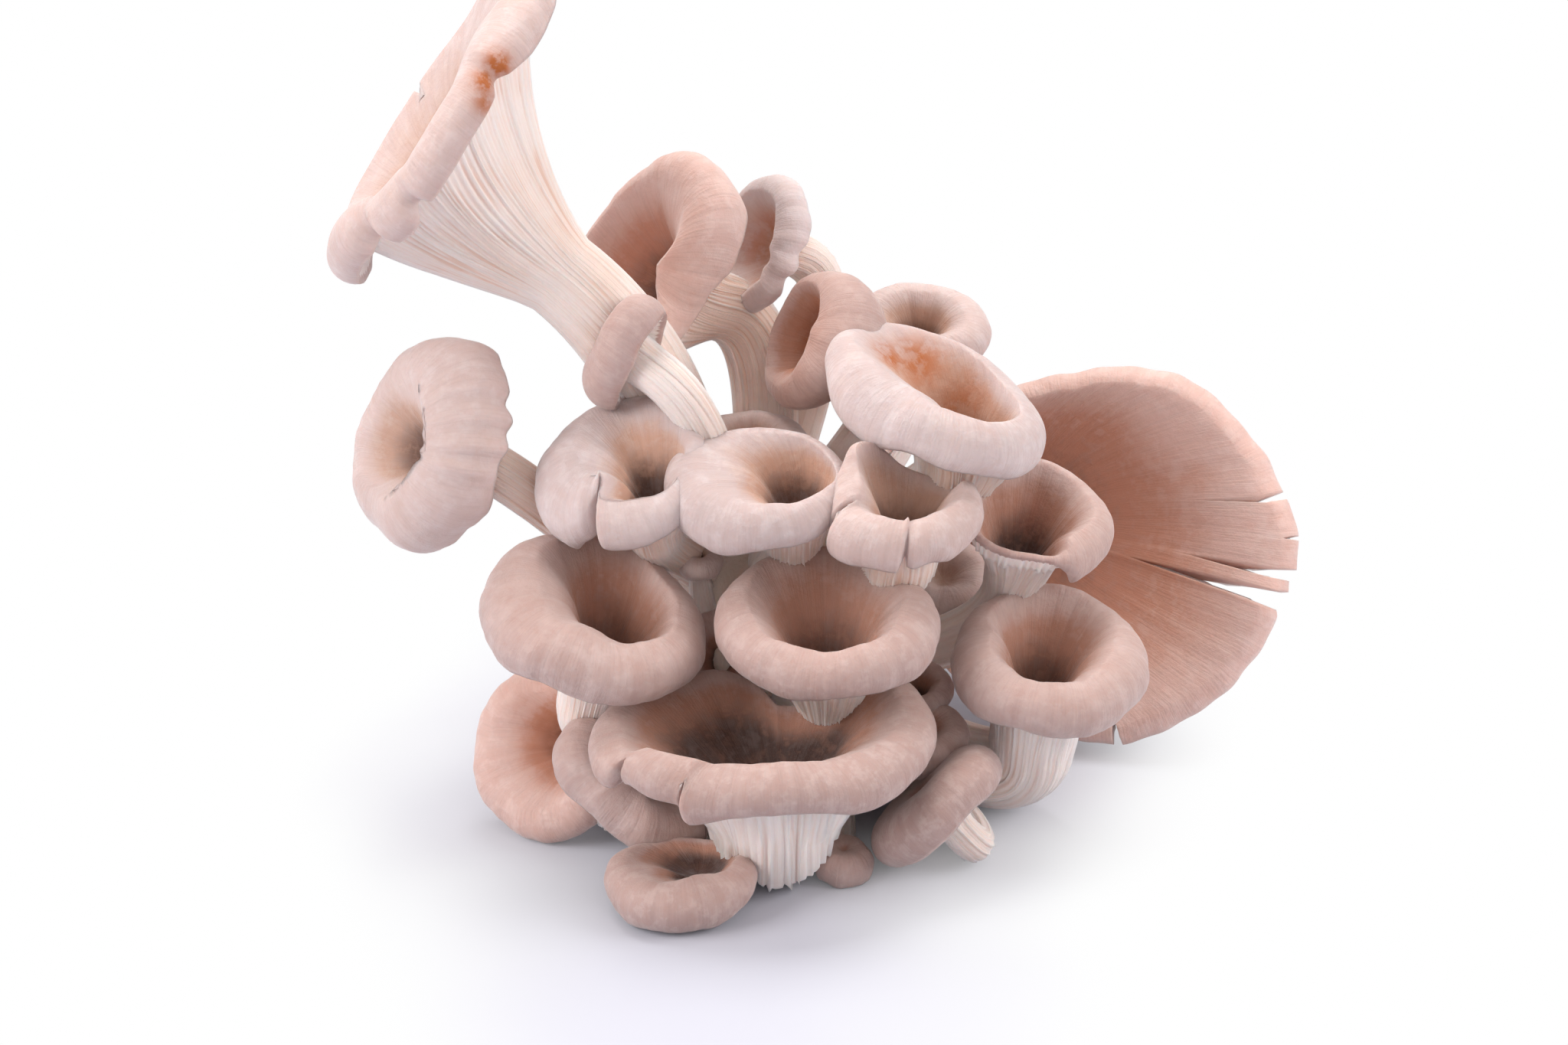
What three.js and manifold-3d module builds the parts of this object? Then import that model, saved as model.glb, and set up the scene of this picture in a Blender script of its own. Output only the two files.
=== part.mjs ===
// A cluster of oyster mushrooms: funnel-shaped caps on curved stems, all grown from one fused foot.
// Millimetres, +Z up, the foot's flat cut face on Z = 0 and the origin at its middle.
// Each mushroom is one closed skin: foot, stem, gilled underside, rolled brim and funnel, in that order.

import * as THREE from "three";
import Module from "manifold-3d";
import { mergeVertices } from "three/addons/utils/BufferGeometryUtils.js";

const wasm = await Module();
wasm.setup();

// Driving dimensions, in millimetres and degrees.
const CLEARANCE = 0.35; // gap between touching pieces
const GILL_DEPTH = 2; // how far the gills hang below the cap's flesh at the brim
const SMOOTHING = 0.04; // cut edges finer than this are smoothed away
const TABLE_GAP = 0.3; // the lowest any cap or stem reaches
const STEEP = 3.2; // how sharply a funnel drops once it leaves the brim
const TURNS = 12; // steps in which a stem's axes are carried along it
const WELD = 1e-3; // vertices closer than this are one
const FOOT = { half: [33, 29], tall: 56, middle: [0, 8] };

// How a mushroom is described:
//   crown   middle of the ring along the top of the brim
//   tilt, toward   degrees off vertical that the funnel faces, and the direction of that lean (270 is -Y)
//   reach   half widths of the cap, downhill and level
//   throat  where the funnel's bottom lies from the crown, downhill and level
//   depth, mouth   funnel depth, and the share of the way out at which it is half as deep, if not 0.5
//   roll, curl     width and drop of the rolled brim, and how many degrees it turns under
//   flesh   thickness of the cap
//   neck    stem radius where the gills begin, and how far that is below the crown
//   flare   how fast the underside opens above the neck
//   foot, heel, rise   where the stem starts, its radius there, and the way it leaves
//   pull, arrive   how long and which way the stem runs into the neck, where it is not straight up the funnel
//   rim     lobes of the brim, in order round it: angle, outward, upward, share of the roll
const MUSHROOMS = [
  {
    name: "front_bowl", colour: "brown", segments: 18,
    crown: [-1.6, -48, 35], tilt: 3, toward: 280, reach: [24, 34], throat: [3.5, 1.2],
    depth: 19, mouth: 0.65, roll: [7, 5.5], curl: 35, flesh: 3,
    neck: [12, 22.6], flare: 1.12, foot: [0, -18, 11], heel: 8, rise: [0, -14, -1],
    rim: [[0, 0, 0, 1], [85, 0, 0.5, 1.1], [106, 0.5, 1.5, 0.8], [120, -9, -3, 0.25],
      [158, -11, -4, 0.2], [180, -5, -2, 0.3], [200, -1, 0, 0.4], [240, 0, 0, 0.5],
      [284, 0.5, 0.3, 0.85], [335, 0, 0, 1.05]],
    pull: 0.2, arrive: [0, -0.7, 0.7],
  },
  {
    name: "left_cup", colour: "brown",
    crown: [-34, -32, 55], tilt: 16, toward: 330, reach: [23, 22], throat: [2.8, 3.4],
    depth: 20, mouth: 0.58, roll: [8, 7], curl: 45, flesh: 3.5,
    neck: [7, 27], flare: 1.8, foot: [-14, -10, 16], heel: 6, rise: [-10, -6, 4],
    rim: [[0, 0, -1.4, 0.95], [30, 0, -1.2, 0.9], [75, 0, -0.5, 0.75], [115, 0, 0, 0.4],
      [155, 0, 0, 0.65], [210, 0, 0, 1.25], [270, 0, -0.8, 1], [320, 0, -1.6, 0.9]],
  },
  {
    name: "centre_cup", colour: "brown",
    crown: [10.5, -34, 54], tilt: 8, toward: 270, reach: [20.5, 22.5], throat: [4, 0],
    depth: 19, mouth: 0.6, roll: [7, 6.5], curl: 42, flesh: 3.5,
    neck: [5.5, 24], flare: 1.1, foot: [4, -14, 20], heel: 6, rise: [2, -8, 6],
    rim: [[0, 0, -1.7, 0.8], [45, 0, -1, 0.9], [80, 0, 0, 1.1], [130, 0, 0, 0.7],
      [180, 0, 0, 0.35], [230, 0, 0, 0.55], [280, 0, 0, 0.95], [320, 0, -1, 0.85]],
  },
  {
    name: "right_cup", colour: "brown",
    crown: [55.7, -28, 43], tilt: 10, toward: 300, reach: [19, 20.5], throat: [0, -1.5],
    depth: 18, mouth: 0.55, roll: [7, 6.5], curl: 42, flesh: 3.5,
    neck: [8.5, 27], flare: 1.8, foot: [28, -8, 9.5], heel: 7, rise: [8, -6, -1],
    rim: [[10, 0, -1.5, 0.95], [57, 0, -0.3, 1.1], [100, 0, 0, 0.8], [147, 0, 0, 0.45],
      [190, 0, 0, 0.5], [237, 0, 0, 1], [285, 0, -1.2, 0.95], [327, 0, -2.3, 0.9]],
  },
  {
    name: "split_cup", colour: "pale",
    crown: [26.5, -24, 72], tilt: 10, toward: 300, reach: [13, 16], throat: [0, 0],
    depth: 12, mouth: 0.65, roll: [5, 5], curl: 40, flesh: 2.6,
    neck: [7, 16.5], flare: 1.5, foot: [9, -8, 40], heel: 5, rise: [4, -6, 8],
    rim: [[0, 0, 0, 1.05], [85, 0, 0.4, 0.9], [104, -1, -4, 0.35], [150, 0, -1, 0.3],
      [175, 0, 3.5, 0.3], [198, 0, 6.5, 0.3], [228, 0, 4, 0.8], [258, 0, 2, 1.1], [300, 1, 0, 1.2],
      [335, 0, 0, 1.05]],
    pull: 0.35, arrive: [0.1, -0.85, 0.5],
  },
  {
    name: "middle_cup", colour: "pale",
    crown: [-3.8, -20, 77], tilt: 12, toward: 270, reach: [16, 18.2], throat: [0, 7.5],
    depth: 12.5, mouth: 0.6, roll: [6, 6], curl: 42, flesh: 3,
    neck: [6.5, 16.8], flare: 1.4, foot: [0, -5, 44], heel: 5.5, rise: [0, -3, 8],
    rim: [[0, 0, -1.8, 0.9], [45, 0.5, -1.8, 0.8], [85, 1, -2.6, 0.5], [125, 0, -1, 0.5],
      [180, 0, 0, 0.85], [230, 0, 0, 0.9], [270, 0, 0, 1.15], [315, 0, -1, 1.05]],
    pull: 0.35, arrive: [0, -0.85, 0.5],
  },
  {
    name: "upper_left_cup", colour: "pale",
    crown: [-32, -14, 79], tilt: 16, toward: 225, reach: [18, 18], throat: [2, 9],
    depth: 12.5, mouth: 0.45, roll: [7, 6.5], curl: 42, flesh: 3,
    neck: [6, 17], flare: 1.8, foot: [-10, -1, 42], heel: 5.5, rise: [-6, -3, 8],
    rim: [[0, 0, -1, 1.4], [24, -1.5, -0.6, 0.95], [50, 2, -4.2, 0.8], [80, 1.5, -5.2, 0.7],
      [110, 0, -4.6, 0.5], [140, 0, -1.5, 0.5], [180, 0, 1.8, 0.8], [226, 0, 1, 0.9],
      [298, 0, 0, 1.5]],
    pull: 0.35, arrive: [-0.1, -0.8, 0.6],
  },
  {
    name: "right_inner_cup", colour: "brown",
    crown: [53.2, -12, 64.5], tilt: 20, toward: 310, reach: [15.5, 16.8], throat: [1, -1],
    depth: 16, mouth: 0.62, roll: [5, 5], curl: 40, flesh: 2.8,
    neck: [5.5, 22], flare: 1.8, foot: [22, -2, 25], heel: 5, rise: [8, -4, 4],
    rim: [[10, 0, 0, 1.1], [67, 0, 0, 1.05], [138, 0, 0, 0.5], [200, 0, 0, 0.6],
      [240, 0, -0.5, 0.5], [262, -1, -2, 0.3], [330, -2, -2.5, 0.3], [356, 0, 0, 1]],
  },
  {
    name: "pale_cup", colour: "pale",
    crown: [34, -3.5, 88.9], tilt: 18, toward: 335, reach: [24, 18.5], throat: [9, 0],
    depth: 13, mouth: 0.55, roll: [6, 6], curl: 42, flesh: 3,
    neck: [8, 20], flare: 1.25, foot: [12, 6, 46], heel: 5.5, rise: [5, -2, 8],
    rim: [[0, 0, 0, 1.2], [51, 0, 0, 1.4], [113, 0, 0, 0.6], [170, 0, 0, 0.7], [231, 0, 0, 1.3]],
    pull: 0.35, arrive: [0.2, -0.6, 0.75],
  },
  {
    name: "left_far_cap", colour: "pale",
    crown: [-77, -8, 76], tilt: 70, toward: 215, reach: [21.5, 20], throat: [-0.7, 8.7],
    depth: 6.5, mouth: 0.4, roll: [10, 10], curl: 30, flesh: 3,
    neck: [5, 18], flare: 1.8, foot: [-20, 4, 38], heel: 5, rise: [-10, 0, 2],
    rim: [[0, -1, 0, 1], [70, 0, 0, 1], [140, 1.5, 0, 1], [166, 3, 0, 1], [200, 0, 0, 0.8],
      [230, -4, 0, 0.7], [265, -2.5, 0, 0.8], [300, 0, 0, 1]],
    pull: 0.35, arrive: [-0.8, 0.1, 0.45],
  },
  {
    name: "left_low_cap", colour: "brown",
    crown: [-47, -30, 19], tilt: 60, toward: 238, reach: [18.5, 18], throat: [-3, 4],
    depth: 11, roll: [6, 5], curl: 40, flesh: 3,
    neck: [5, 17], flare: 1.7, foot: [-24, -4, 9], heel: 5, rise: [-8, -4, 1],
  },
  {
    name: "left_crescent", colour: "brown",
    crown: [-25.5, -40, 20], tilt: 35, toward: 331, reach: [18, 16], throat: [0, 0],
    depth: 6, mouth: 0.4, roll: [6, 6], curl: 30, flesh: 3,
    neck: [4.5, 13], flare: 1.8, foot: [-15, -14, 8], heel: 4.5, rise: [-4, -6, -1],
    rim: [[0, 0, 0, 1], [45, 0, 0, 1], [180, 0, 0, 1], [220, -0.8, 0, 1], [250, -3.2, 0, 1],
      [285, -3.8, 0, 1], [318, -1.5, 0, 1]],
    pull: 0.2,
  },
  {
    name: "right_crescent", colour: "brown",
    crown: [28.5, -43, 17.5], tilt: 46, toward: 160, reach: [16, 15], throat: [0, 0],
    depth: 2, mouth: 0.3, roll: [6.5, 5.5], curl: 50, flesh: 2.6,
    neck: [3.6, 12], flare: 1.8, foot: [24, -14, 8], heel: 4.5, rise: [10, -8, 0],
  },
  {
    name: "floor_cup", colour: "brown",
    crown: [-18, -60, 10.8], tilt: 3, toward: 200, reach: [15.3, 14], throat: [-3, 0],
    depth: 4.6, mouth: 0.7, roll: [5, 4.8], curl: 50, flesh: 1.9,
    neck: [2.4, 7.3], flare: 1.5, foot: [-10, -20, 6.5], heel: 3.6, rise: [-3, -10, 0],
    rim: [[0, 0, 0, 1], [90, 0, 0, 1.15], [140, 0, 0, 0.9], [200, -2.5, -1.2, 0.4],
      [270, -2.5, -1.2, 0.4], [330, 0, 0, 0.8]],
    arrive: [-0.3, -0.85, 0.3],
  },
  {
    name: "edge_cap", colour: "brown", segments: 10,
    crown: [-34.3, -1.7, 96.8], tilt: 64, toward: 155, reach: [13.5, 8], throat: [0, 0],
    depth: 6, roll: [6.5, 6], curl: 40, flesh: 2.6,
    neck: [4.5, 12], flare: 1.8, foot: [-9, 4, 47], heel: 4.5, rise: [-4, 0, 8],
  },
  {
    name: "back_left_cup", colour: "brown",
    crown: [5, 14, 91], tilt: 62, toward: 200, reach: [15, 13], throat: [0, 0],
    depth: 12, mouth: 0.6, roll: [5, 5], curl: 40, flesh: 2.8,
    neck: [5, 18], flare: 1.8, foot: [5, 11, 48], heel: 5, rise: [2, 2, 8],
    rim: [[0, 0, 0, 0.7], [60, 0, 0, 1.3], [110, 0, 0, 1.7], [150, 0, 0, 1.6], [185, 0, 0, 1],
      [230, 0, 0, 0.4], [330, 0, 0, 0.4]],
  },
  {
    name: "back_right_cap", colour: "pale",
    crown: [30, 26, 90], tilt: 25, toward: 270, reach: [12, 15], throat: [0, 0],
    depth: 9, roll: [5, 5], curl: 40, flesh: 2.8,
    neck: [5, 18], flare: 1.8, foot: [14, 18, 46], heel: 5, rise: [4, 4, 8],
  },
  {
    name: "tall_cap", colour: "pale", segments: 18,
    crown: [-69.5, 12, 138.5], tilt: 53, toward: 167, reach: [38, 32], throat: [8.5, 0],
    depth: 20, roll: [7, 6], curl: 40, flesh: 3.5,
    neck: [8.7, 41], flare: 1.2, foot: [-15, 18, 48], heel: 10, rise: [-6, 2, 12],
    rim: [[0, -1, 0, 1], [56, 0, -1.5, 1], [75, -0.5, -3.8, 1], [105, 1.5, -3.4, 0.95],
      [138, 0, -1, 0.85], [175, 0, 1.5, 1], [195, 0, 2.2, 0.85], [215, 0, 4, 0.6],
      [240, 0, 6.5, 0.45], [275, 0, 6.5, 0.45], [300, 0, 5.5, 0.45], [330, 0, 2.5, 0.7]],
  },
  {
    name: "top_cap", colour: "brown",
    crown: [-26, 22.5, 103], tilt: 69, toward: 212, reach: [24, 19], throat: [6, 0],
    depth: 12, mouth: 0.6, roll: [7, 6], curl: 40, flesh: 3.2,
    neck: [7, 20], flare: 1.6, foot: [-2, 22, 50], heel: 6.5, rise: [0, 4, 12],
    rim: [[0, -1, 0, 0.45], [20, 0, 0, 0.35], [45, -4.5, 0, 0.6], [70, -7, 0, 1],
      [95, -6.5, 0, 1.15], [118, -4, 0, 1.3], [140, -1, 0, 1.3], [180, 0, 0, 0.8],
      [205, 0, 0, 0.55], [250, 1, 1, 0.35], [285, 4, 3, 0.35], [315, 4, 3, 0.35], [340, 0, 0, 0.4]],
  },
  {
    name: "top_back_cap", colour: "pale",
    crown: [-5.5, 34, 103.5], tilt: 66, toward: 214, reach: [15, 11.5], throat: [0, 0],
    depth: 9, mouth: 0.75, roll: [4.5, 4.5], curl: 40, flesh: 2.6,
    neck: [4.5, 12], flare: 1.7, foot: [1, 28, 46], heel: 5, rise: [0, 4, 10],
    rim: [[0, 0, 0, 0.7], [84, 0.4, 0, 0.75], [180, 0, 0, 0.9], [270, 0, 0, 0.45]],
  },
  {
    name: "big_fan", colour: "brown", segments: 22,
    crown: [67.7, 18, 40], tilt: 62, toward: 258, reach: [40, 40], throat: [2, -15],
    depth: 17, mouth: 0.85, roll: [4, 4], curl: 20, flesh: 3.2,
    neck: [8, 28], flare: 1.5, foot: [26, 18, 22], heel: 7, rise: [10, 4, 0],
  },
  {
    name: "petal_cap", colour: "brown", segments: 10,
    crown: [28, -33, 26], tilt: 16, toward: 300, reach: [9.5, 12.5], throat: [0, 0],
    depth: 6, roll: [4, 4], curl: 35, flesh: 2,
    neck: [3.5, 10], flare: 1.8, foot: [20, -12, 13], heel: 4, rise: [3, -4, 1],
  },
  {
    name: "curled_cap", colour: "brown", segments: 10,
    crown: [28, -22, 30], tilt: 20, toward: 250, reach: [7.5, 8], throat: [0, 0],
    depth: 7, roll: [2.6, 2.6], curl: 35, flesh: 1.8,
    neck: [3.2, 11], flare: 1.6, foot: [20, -8, 18], heel: 3.6, rise: [3, -3, 3],
  },
  {
    name: "shaded_cap", colour: "brown", segments: 10,
    crown: [-11, -20, 34], tilt: 55, toward: 265, reach: [11, 9], throat: [0, 0],
    depth: 5, roll: [4, 4], curl: 35, flesh: 2.2,
    neck: [3.5, 9], flare: 1.8, foot: [-8, -8, 26], heel: 4, rise: [0, -2, 1],
  },
  {
    name: "behind_cup", colour: "pale", segments: 10,
    crown: [-5, 6, 73], tilt: 8, toward: 270, reach: [11, 13], throat: [0, 0],
    depth: 9, roll: [5, 5], curl: 40, flesh: 2.6,
    neck: [4.5, 15], flare: 1.8, foot: [-2, 8, 50], heel: 4.5, rise: [0, 0, 3],
  },
  {
    name: "inner_cap", colour: "pale", segments: 10,
    crown: [35, 4, 42], tilt: 34, toward: 270, reach: [10, 11], throat: [0, 0],
    depth: 3.5, roll: [4, 4], curl: 35, flesh: 2.4,
    neck: [4, 11], flare: 1.8, foot: [20, 8, 26], heel: 4.5, rise: [4, 0, 3],
  },
  {
    name: "young_button", colour: "pale", segments: 10,
    crown: [-15, -12, 54], tilt: 10, toward: 270, reach: [4.8, 4.8], throat: [0, 0],
    depth: 1.5, roll: [2.6, 2.6], curl: 35, flesh: 1.6,
    neck: [2, 6], flare: 1.8, foot: [-12, -7, 32], heel: 3.6, rise: [-1, -2, 5],
  },
  {
    name: "floor_button", colour: "brown", segments: 10,
    crown: [14, -49, 6.8], tilt: 4, toward: 300, reach: [5.6, 6], throat: [0, 0],
    depth: 0.7, mouth: 0.3, roll: [3.2, 4.2], curl: 35, flesh: 1.4,
    neck: [2, 4.6], flare: 1.6, foot: [13, -20, 6], heel: 3, rise: [1, -10, 0],
    rim: [[0, 0, 0, 1], [100, 0, 0, 0.8], [150, 0, 0, 0.3], [210, 0, 0, 0.3], [260, 0, 0, 0.8]],
    arrive: [0, -0.9, 0.4],
  },
  {
    name: "rear_left_cup", colour: "brown",
    crown: [-27, 40, 33], tilt: 22, toward: 130, reach: [17, 16], throat: [0, 0],
    depth: 13, roll: [6, 6], curl: 42, flesh: 3,
    neck: [6, 20], flare: 1.8, foot: [-15, 22, 10], heel: 5.5, rise: [-3, 6, 0],
    pull: 0.35, arrive: [-0.35, 0.45, 0.8],
  },
  {
    name: "rear_middle_cup", colour: "pale",
    crown: [1, 48, 45], tilt: 24, toward: 90, reach: [16, 17], throat: [0, 0],
    depth: 13, roll: [6, 6], curl: 42, flesh: 3,
    neck: [6, 21], flare: 1.8, foot: [0, 28, 22], heel: 5.5, rise: [0, 6, 1],
    pull: 0.35, arrive: [0, 0.5, 0.8],
  },
  {
    name: "rear_right_cup", colour: "brown",
    crown: [28, 46, 34], tilt: 22, toward: 60, reach: [14, 15], throat: [0, 0],
    depth: 12, roll: [5, 5], curl: 42, flesh: 2.8,
    neck: [5.5, 19], flare: 1.8, foot: [15, 26, 11], heel: 5, rise: [4, 6, 0],
    pull: 0.35, arrive: [0.3, 0.5, 0.8],
  },
];

const COLOURS = { brown: 0xb98f80, pale: 0xd6bfb8, flesh: 0xeee0d4 };

// Stations of the profile from the foot round to the funnel's bottom; each is one ring of the skin.
const STATIONS = [
  { zone: "foot" },
  ...[0, 0.5, 1].map((at) => ({ zone: "stem", at })),
  ...[0.35, 1].map((at) => ({ zone: "gills", at })),
  ...[-1, 0, 0.5].map((at) => ({ zone: "brim", at })),
  ...[1, 0.7, 0.38, 0].map((at) => ({ zone: "bowl", at })),
];

const radians = THREE.MathUtils.degToRad;

/** The cap's own axes: out of the funnel, downhill and level. */
function capFrame({ tilt, toward }) {
  const [t, a] = [radians(tilt), radians(toward)];
  const face = new THREE.Vector3(Math.sin(t) * Math.cos(a), Math.sin(t) * Math.sin(a), Math.cos(t));
  const down = new THREE.Vector3(Math.cos(t) * Math.cos(a), Math.cos(t) * Math.sin(a), -Math.sin(t));
  return { face, down, level: face.clone().cross(down) };
}

/** The brim at an angle: its distance from the crown, lift and share of the roll. */
function brimAt(m, theta) {
  const rim = m.rim ?? [[0, 0, 0, 1]];
  const next = Math.max(0, rim.findIndex(([angle]) => angle > theta));
  const [before, after] = [rim.at(next - 1), rim[next]];
  const span = (after[0] - before[0] + 360) % 360 || 360;
  const share = ((theta - before[0] + 360) % 360) / span;
  const [out, lift, roll] = [1, 2, 3].map((i) => before[i] + (after[i] - before[i]) * share);
  const [c, s] = [Math.cos(radians(theta)), Math.sin(radians(theta))];
  return { reach: 1 / Math.hypot(c / m.reach[0], s / m.reach[1]) + out, lift, roll };
}

/** How far down a funnel its wall is, from 0 at the brim to 1 at the bottom, at a share of the way out. */
function sunkAt(share, mouth) {
  const [fall, edge] = [share, 1].map((x) => 1 / (1 + (x / mouth) ** STEEP));
  return (fall - edge) / (1 - edge);
}

/** Distance from the axis, height over the crown and share of the throat's offset, for one ring of a cap. */
function capProfile(m, station, brim) {
  const [wide, drop] = m.roll.map((r) => r * brim.roll);
  const crest = brim.reach - wide;
  const bowl = (share) => brim.lift * share ** 2 - m.depth * sunkAt(share, m.mouth ?? 0.5);
  const [neckRadius, neckDepth] = m.neck;
  const gillEdge = m.flesh + GILL_DEPTH;
  const { at } = station;
  if (station.zone === "bowl") return [crest * at, bowl(at), 1 - at ** 2];
  if (station.zone === "gills") {
    const out = neckRadius + (crest * 0.97 - neckRadius) * at;
    const trumpet = -neckDepth + (neckDepth - gillEdge + brim.lift) * (1 - (1 - at ** 0.85) ** m.flare);
    return [out, Math.min(trumpet, bowl(Math.min(1, out / crest)) - m.flesh), 1 - at ** 2];
  }
  const turn = at < 0 ? -radians(m.curl) : (at * Math.PI) / 2;
  return [crest + wide * Math.cos(turn), brim.lift - drop + drop * Math.sin(turn), 0];
}

/** The stem's centre line, from its foot to the neck under the cap. */
function stemCurve(m, frame) {
  const foot = new THREE.Vector3(...m.foot);
  const neck = new THREE.Vector3(...m.crown)
    .addScaledVector(frame.down, m.throat[0])
    .addScaledVector(frame.level, m.throat[1])
    .addScaledVector(frame.face, -m.neck[1]);
  const pull = foot.distanceTo(neck) * (m.pull ?? 0.4);
  const arrive = m.arrive ? new THREE.Vector3(...m.arrive).normalize() : frame.face;
  return new THREE.CubicBezierCurve3(
    foot, foot.clone().add(new THREE.Vector3(...m.rise)), neck.clone().addScaledVector(arrive, -pull), neck,
  );
}

/** The stem's downhill and level axes at a share of its length, carried back from the neck untwisted. */
function stemAxes(frame, curve, at) {
  const [down, level] = [frame.down.clone(), frame.level.clone()];
  let facing = frame.face;
  for (let step = 0; step <= TURNS; step++) {
    const tangent = curve.getTangent(1 + ((at - 1) * step) / TURNS);
    const turn = new THREE.Quaternion().setFromUnitVectors(facing, tangent);
    for (const axis of [down, level]) axis.applyQuaternion(turn);
    facing = tangent;
  }
  return { down, level };
}

/** The closed skin of one mushroom, swollen outwards by a margin where it is used to cut its neighbours. */
function skin(m, swell = 0) {
  const segments = m.segments ?? 14;
  const frame = capFrame(m);
  const curve = stemCurve(m, frame);
  const crown = new THREE.Vector3(...m.crown);
  const profile = STATIONS.map((_, i) => new THREE.Vector2(i === 0 || i === STATIONS.length - 1 ? 0 : 1, i));
  const lathe = new THREE.LatheGeometry(profile, segments);
  const position = lathe.getAttribute("position");

  const rings = STATIONS.map((station) => {
    const at = station.zone === "stem" ? station.at : 0;
    const tangent = curve.getTangent(at);
    const sunk = at === 0 ? -swell : 0;
    return {
      centre: curve.getPoint(at).addScaledVector(tangent, sunk),
      ...stemAxes(frame, curve, at),
      radius: m.heel + (m.neck[0] - m.heel) * at,
    };
  });

  for (let i = 0; i < position.count; i++) {
    const step = Math.floor(i / STATIONS.length) % segments;
    const ring = rings[i % STATIONS.length];
    const station = STATIONS[i % STATIONS.length];
    const theta = (360 * step) / segments;
    const [c, s] = [Math.cos(radians(theta)), Math.sin(radians(theta))];
    const point = new THREE.Vector3();
    if (station.zone === "foot") point.copy(ring.centre);
    else if (station.zone === "stem") {
      point.copy(ring.centre)
        .addScaledVector(ring.down, c * ring.radius)
        .addScaledVector(ring.level, s * ring.radius);
    } else {
      const brim = brimAt(m, theta);
      const [out, up, offset] = capProfile(m, station, brim);
      point.copy(crown)
        .addScaledVector(frame.face, up)
        .addScaledVector(frame.down, c * out + m.throat[0] * offset)
        .addScaledVector(frame.level, s * out + m.throat[1] * offset);
    }
    position.setXYZ(i, point.x, point.y, Math.max(point.z, TABLE_GAP));
  }
  const bare = new THREE.BufferGeometry().setAttribute("position", position).setIndex(lathe.getIndex());
  const welded = mergeVertices(bare, WELD);
  return swell === 0 ? welded : swollen(welded, swell);
}

/** Corner triples of a geometry, without the ones that have shrunk to a line. */
function trianglesOf(geometry) {
  const index = geometry.getIndex().array;
  const triangles = [];
  for (let i = 0; i < index.length; i += 3) {
    const [a, b, c] = [index[i], index[i + 1], index[i + 2]];
    if (a !== b && b !== c && c !== a) triangles.push([a, b, c]);
  }
  return triangles;
}

/** A closed skin moved outwards by a margin, every face at least that far where its edges allow. */
function swollen(geometry, margin) {
  const position = geometry.getAttribute("position");
  const pointAt = (_, i) => new THREE.Vector3().fromBufferAttribute(position, i);
  const points = Array.from({ length: position.count }, pointAt);
  const normals = points.map(() => new THREE.Vector3());
  const faces = points.map(() => []);
  for (const corners of trianglesOf(geometry)) {
    const [a, b, c] = corners.map((i) => points[i]);
    const face = new THREE.Triangle(a, b, c).getNormal(new THREE.Vector3());
    corners.forEach((i, k) => {
      const others = [corners[(k + 1) % 3], corners[(k + 2) % 3]];
      const [ahead, behind] = others.map((j) => points[j].clone().sub(points[i]));
      normals[i].addScaledVector(face, ahead.angleTo(behind));
      faces[i].push(face);
    });
  }
  const moved = geometry.clone();
  points.forEach((point, i) => {
    const normal = normals[i].normalize();
    const least = Math.min(...faces[i].map((face) => face.dot(normal)));
    point.addScaledVector(normal, margin / Math.max(least, 0.4));
    moved.getAttribute("position").setXYZ(i, point.x, point.y, point.z);
  });
  return moved;
}

/** A welded geometry as a solid that can be cut. */
function solidOf(geometry) {
  const vertProperties = new Float32Array(geometry.getAttribute("position").array);
  const triVerts = new Uint32Array(trianglesOf(geometry).flat());
  return new wasm.Manifold(new wasm.Mesh({ numProp: 3, vertProperties, triVerts }));
}

/** The largest connected body of a solid. */
function mainBody(solid) {
  return solid.decompose().reduce((best, body) => (body.volume() > best.volume() ? body : best));
}

/** A solid as a named mesh. */
function meshOf(name, solid, colour) {
  const { numProp, vertProperties, triVerts } = solid.getMesh();
  const points = new Float32Array((vertProperties.length / numProp) * 3);
  for (let i = 0; i < points.length / 3; i++) {
    points.set(vertProperties.subarray(i * numProp, i * numProp + 3), i * 3);
  }
  const geometry = new THREE.BufferGeometry()
    .setAttribute("position", new THREE.BufferAttribute(points, 3))
    .setIndex(new THREE.BufferAttribute(new Uint32Array(triVerts), 1));
  geometry.computeVertexNormals();
  const material = new THREE.MeshStandardMaterial({ color: COLOURS[colour], roughness: 0.75, metalness: 0 });
  const mesh = new THREE.Mesh(geometry, material);
  mesh.name = name;
  return mesh;
}

/** The fused foot before its sockets are cut: a flat-bottomed tapering lump. */
function footBlock() {
  const { half, tall, middle } = FOOT;
  const profile = [[0, 0], [0.94, 0], [1, 0.08], [0.98, 0.3], [0.85, 0.6], [0.62, 0.85], [0.3, 0.98], [0, 1]];
  const lathe = new THREE.LatheGeometry(profile.map(([r, z]) => new THREE.Vector2(r, z)), 20);
  const position = lathe.getAttribute("position");
  for (let i = 0; i < position.count; i++) {
    const [x, z, y] = [position.getX(i), position.getY(i), -position.getZ(i)];
    const angle = Math.atan2(y, x);
    const lump = 1 + 0.06 * Math.sin(3 * angle + 1) + 0.04 * Math.sin(5 * angle);
    position.setXYZ(i, middle[0] + x * half[0] * lump, middle[1] + y * half[1] * lump, z * tall);
  }
  const bare = new THREE.BufferGeometry().setAttribute("position", position).setIndex(lathe.getIndex());
  return solidOf(mergeVertices(bare, WELD));
}

const cluster = new THREE.Group();
const taken = [];
for (const m of MUSHROOMS) {
  let body = solidOf(skin(m));
  for (const neighbour of taken) body = body.subtract(neighbour);
  cluster.add(meshOf(m.name, mainBody(body.simplify(SMOOTHING)), m.colour));
  taken.push(solidOf(skin(m, CLEARANCE)));
}
let foot = footBlock();
for (const neighbour of taken) foot = foot.subtract(neighbour);
cluster.add(meshOf("fused_foot", mainBody(foot.simplify(SMOOTHING)), "flesh"));

export default cluster;
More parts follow.
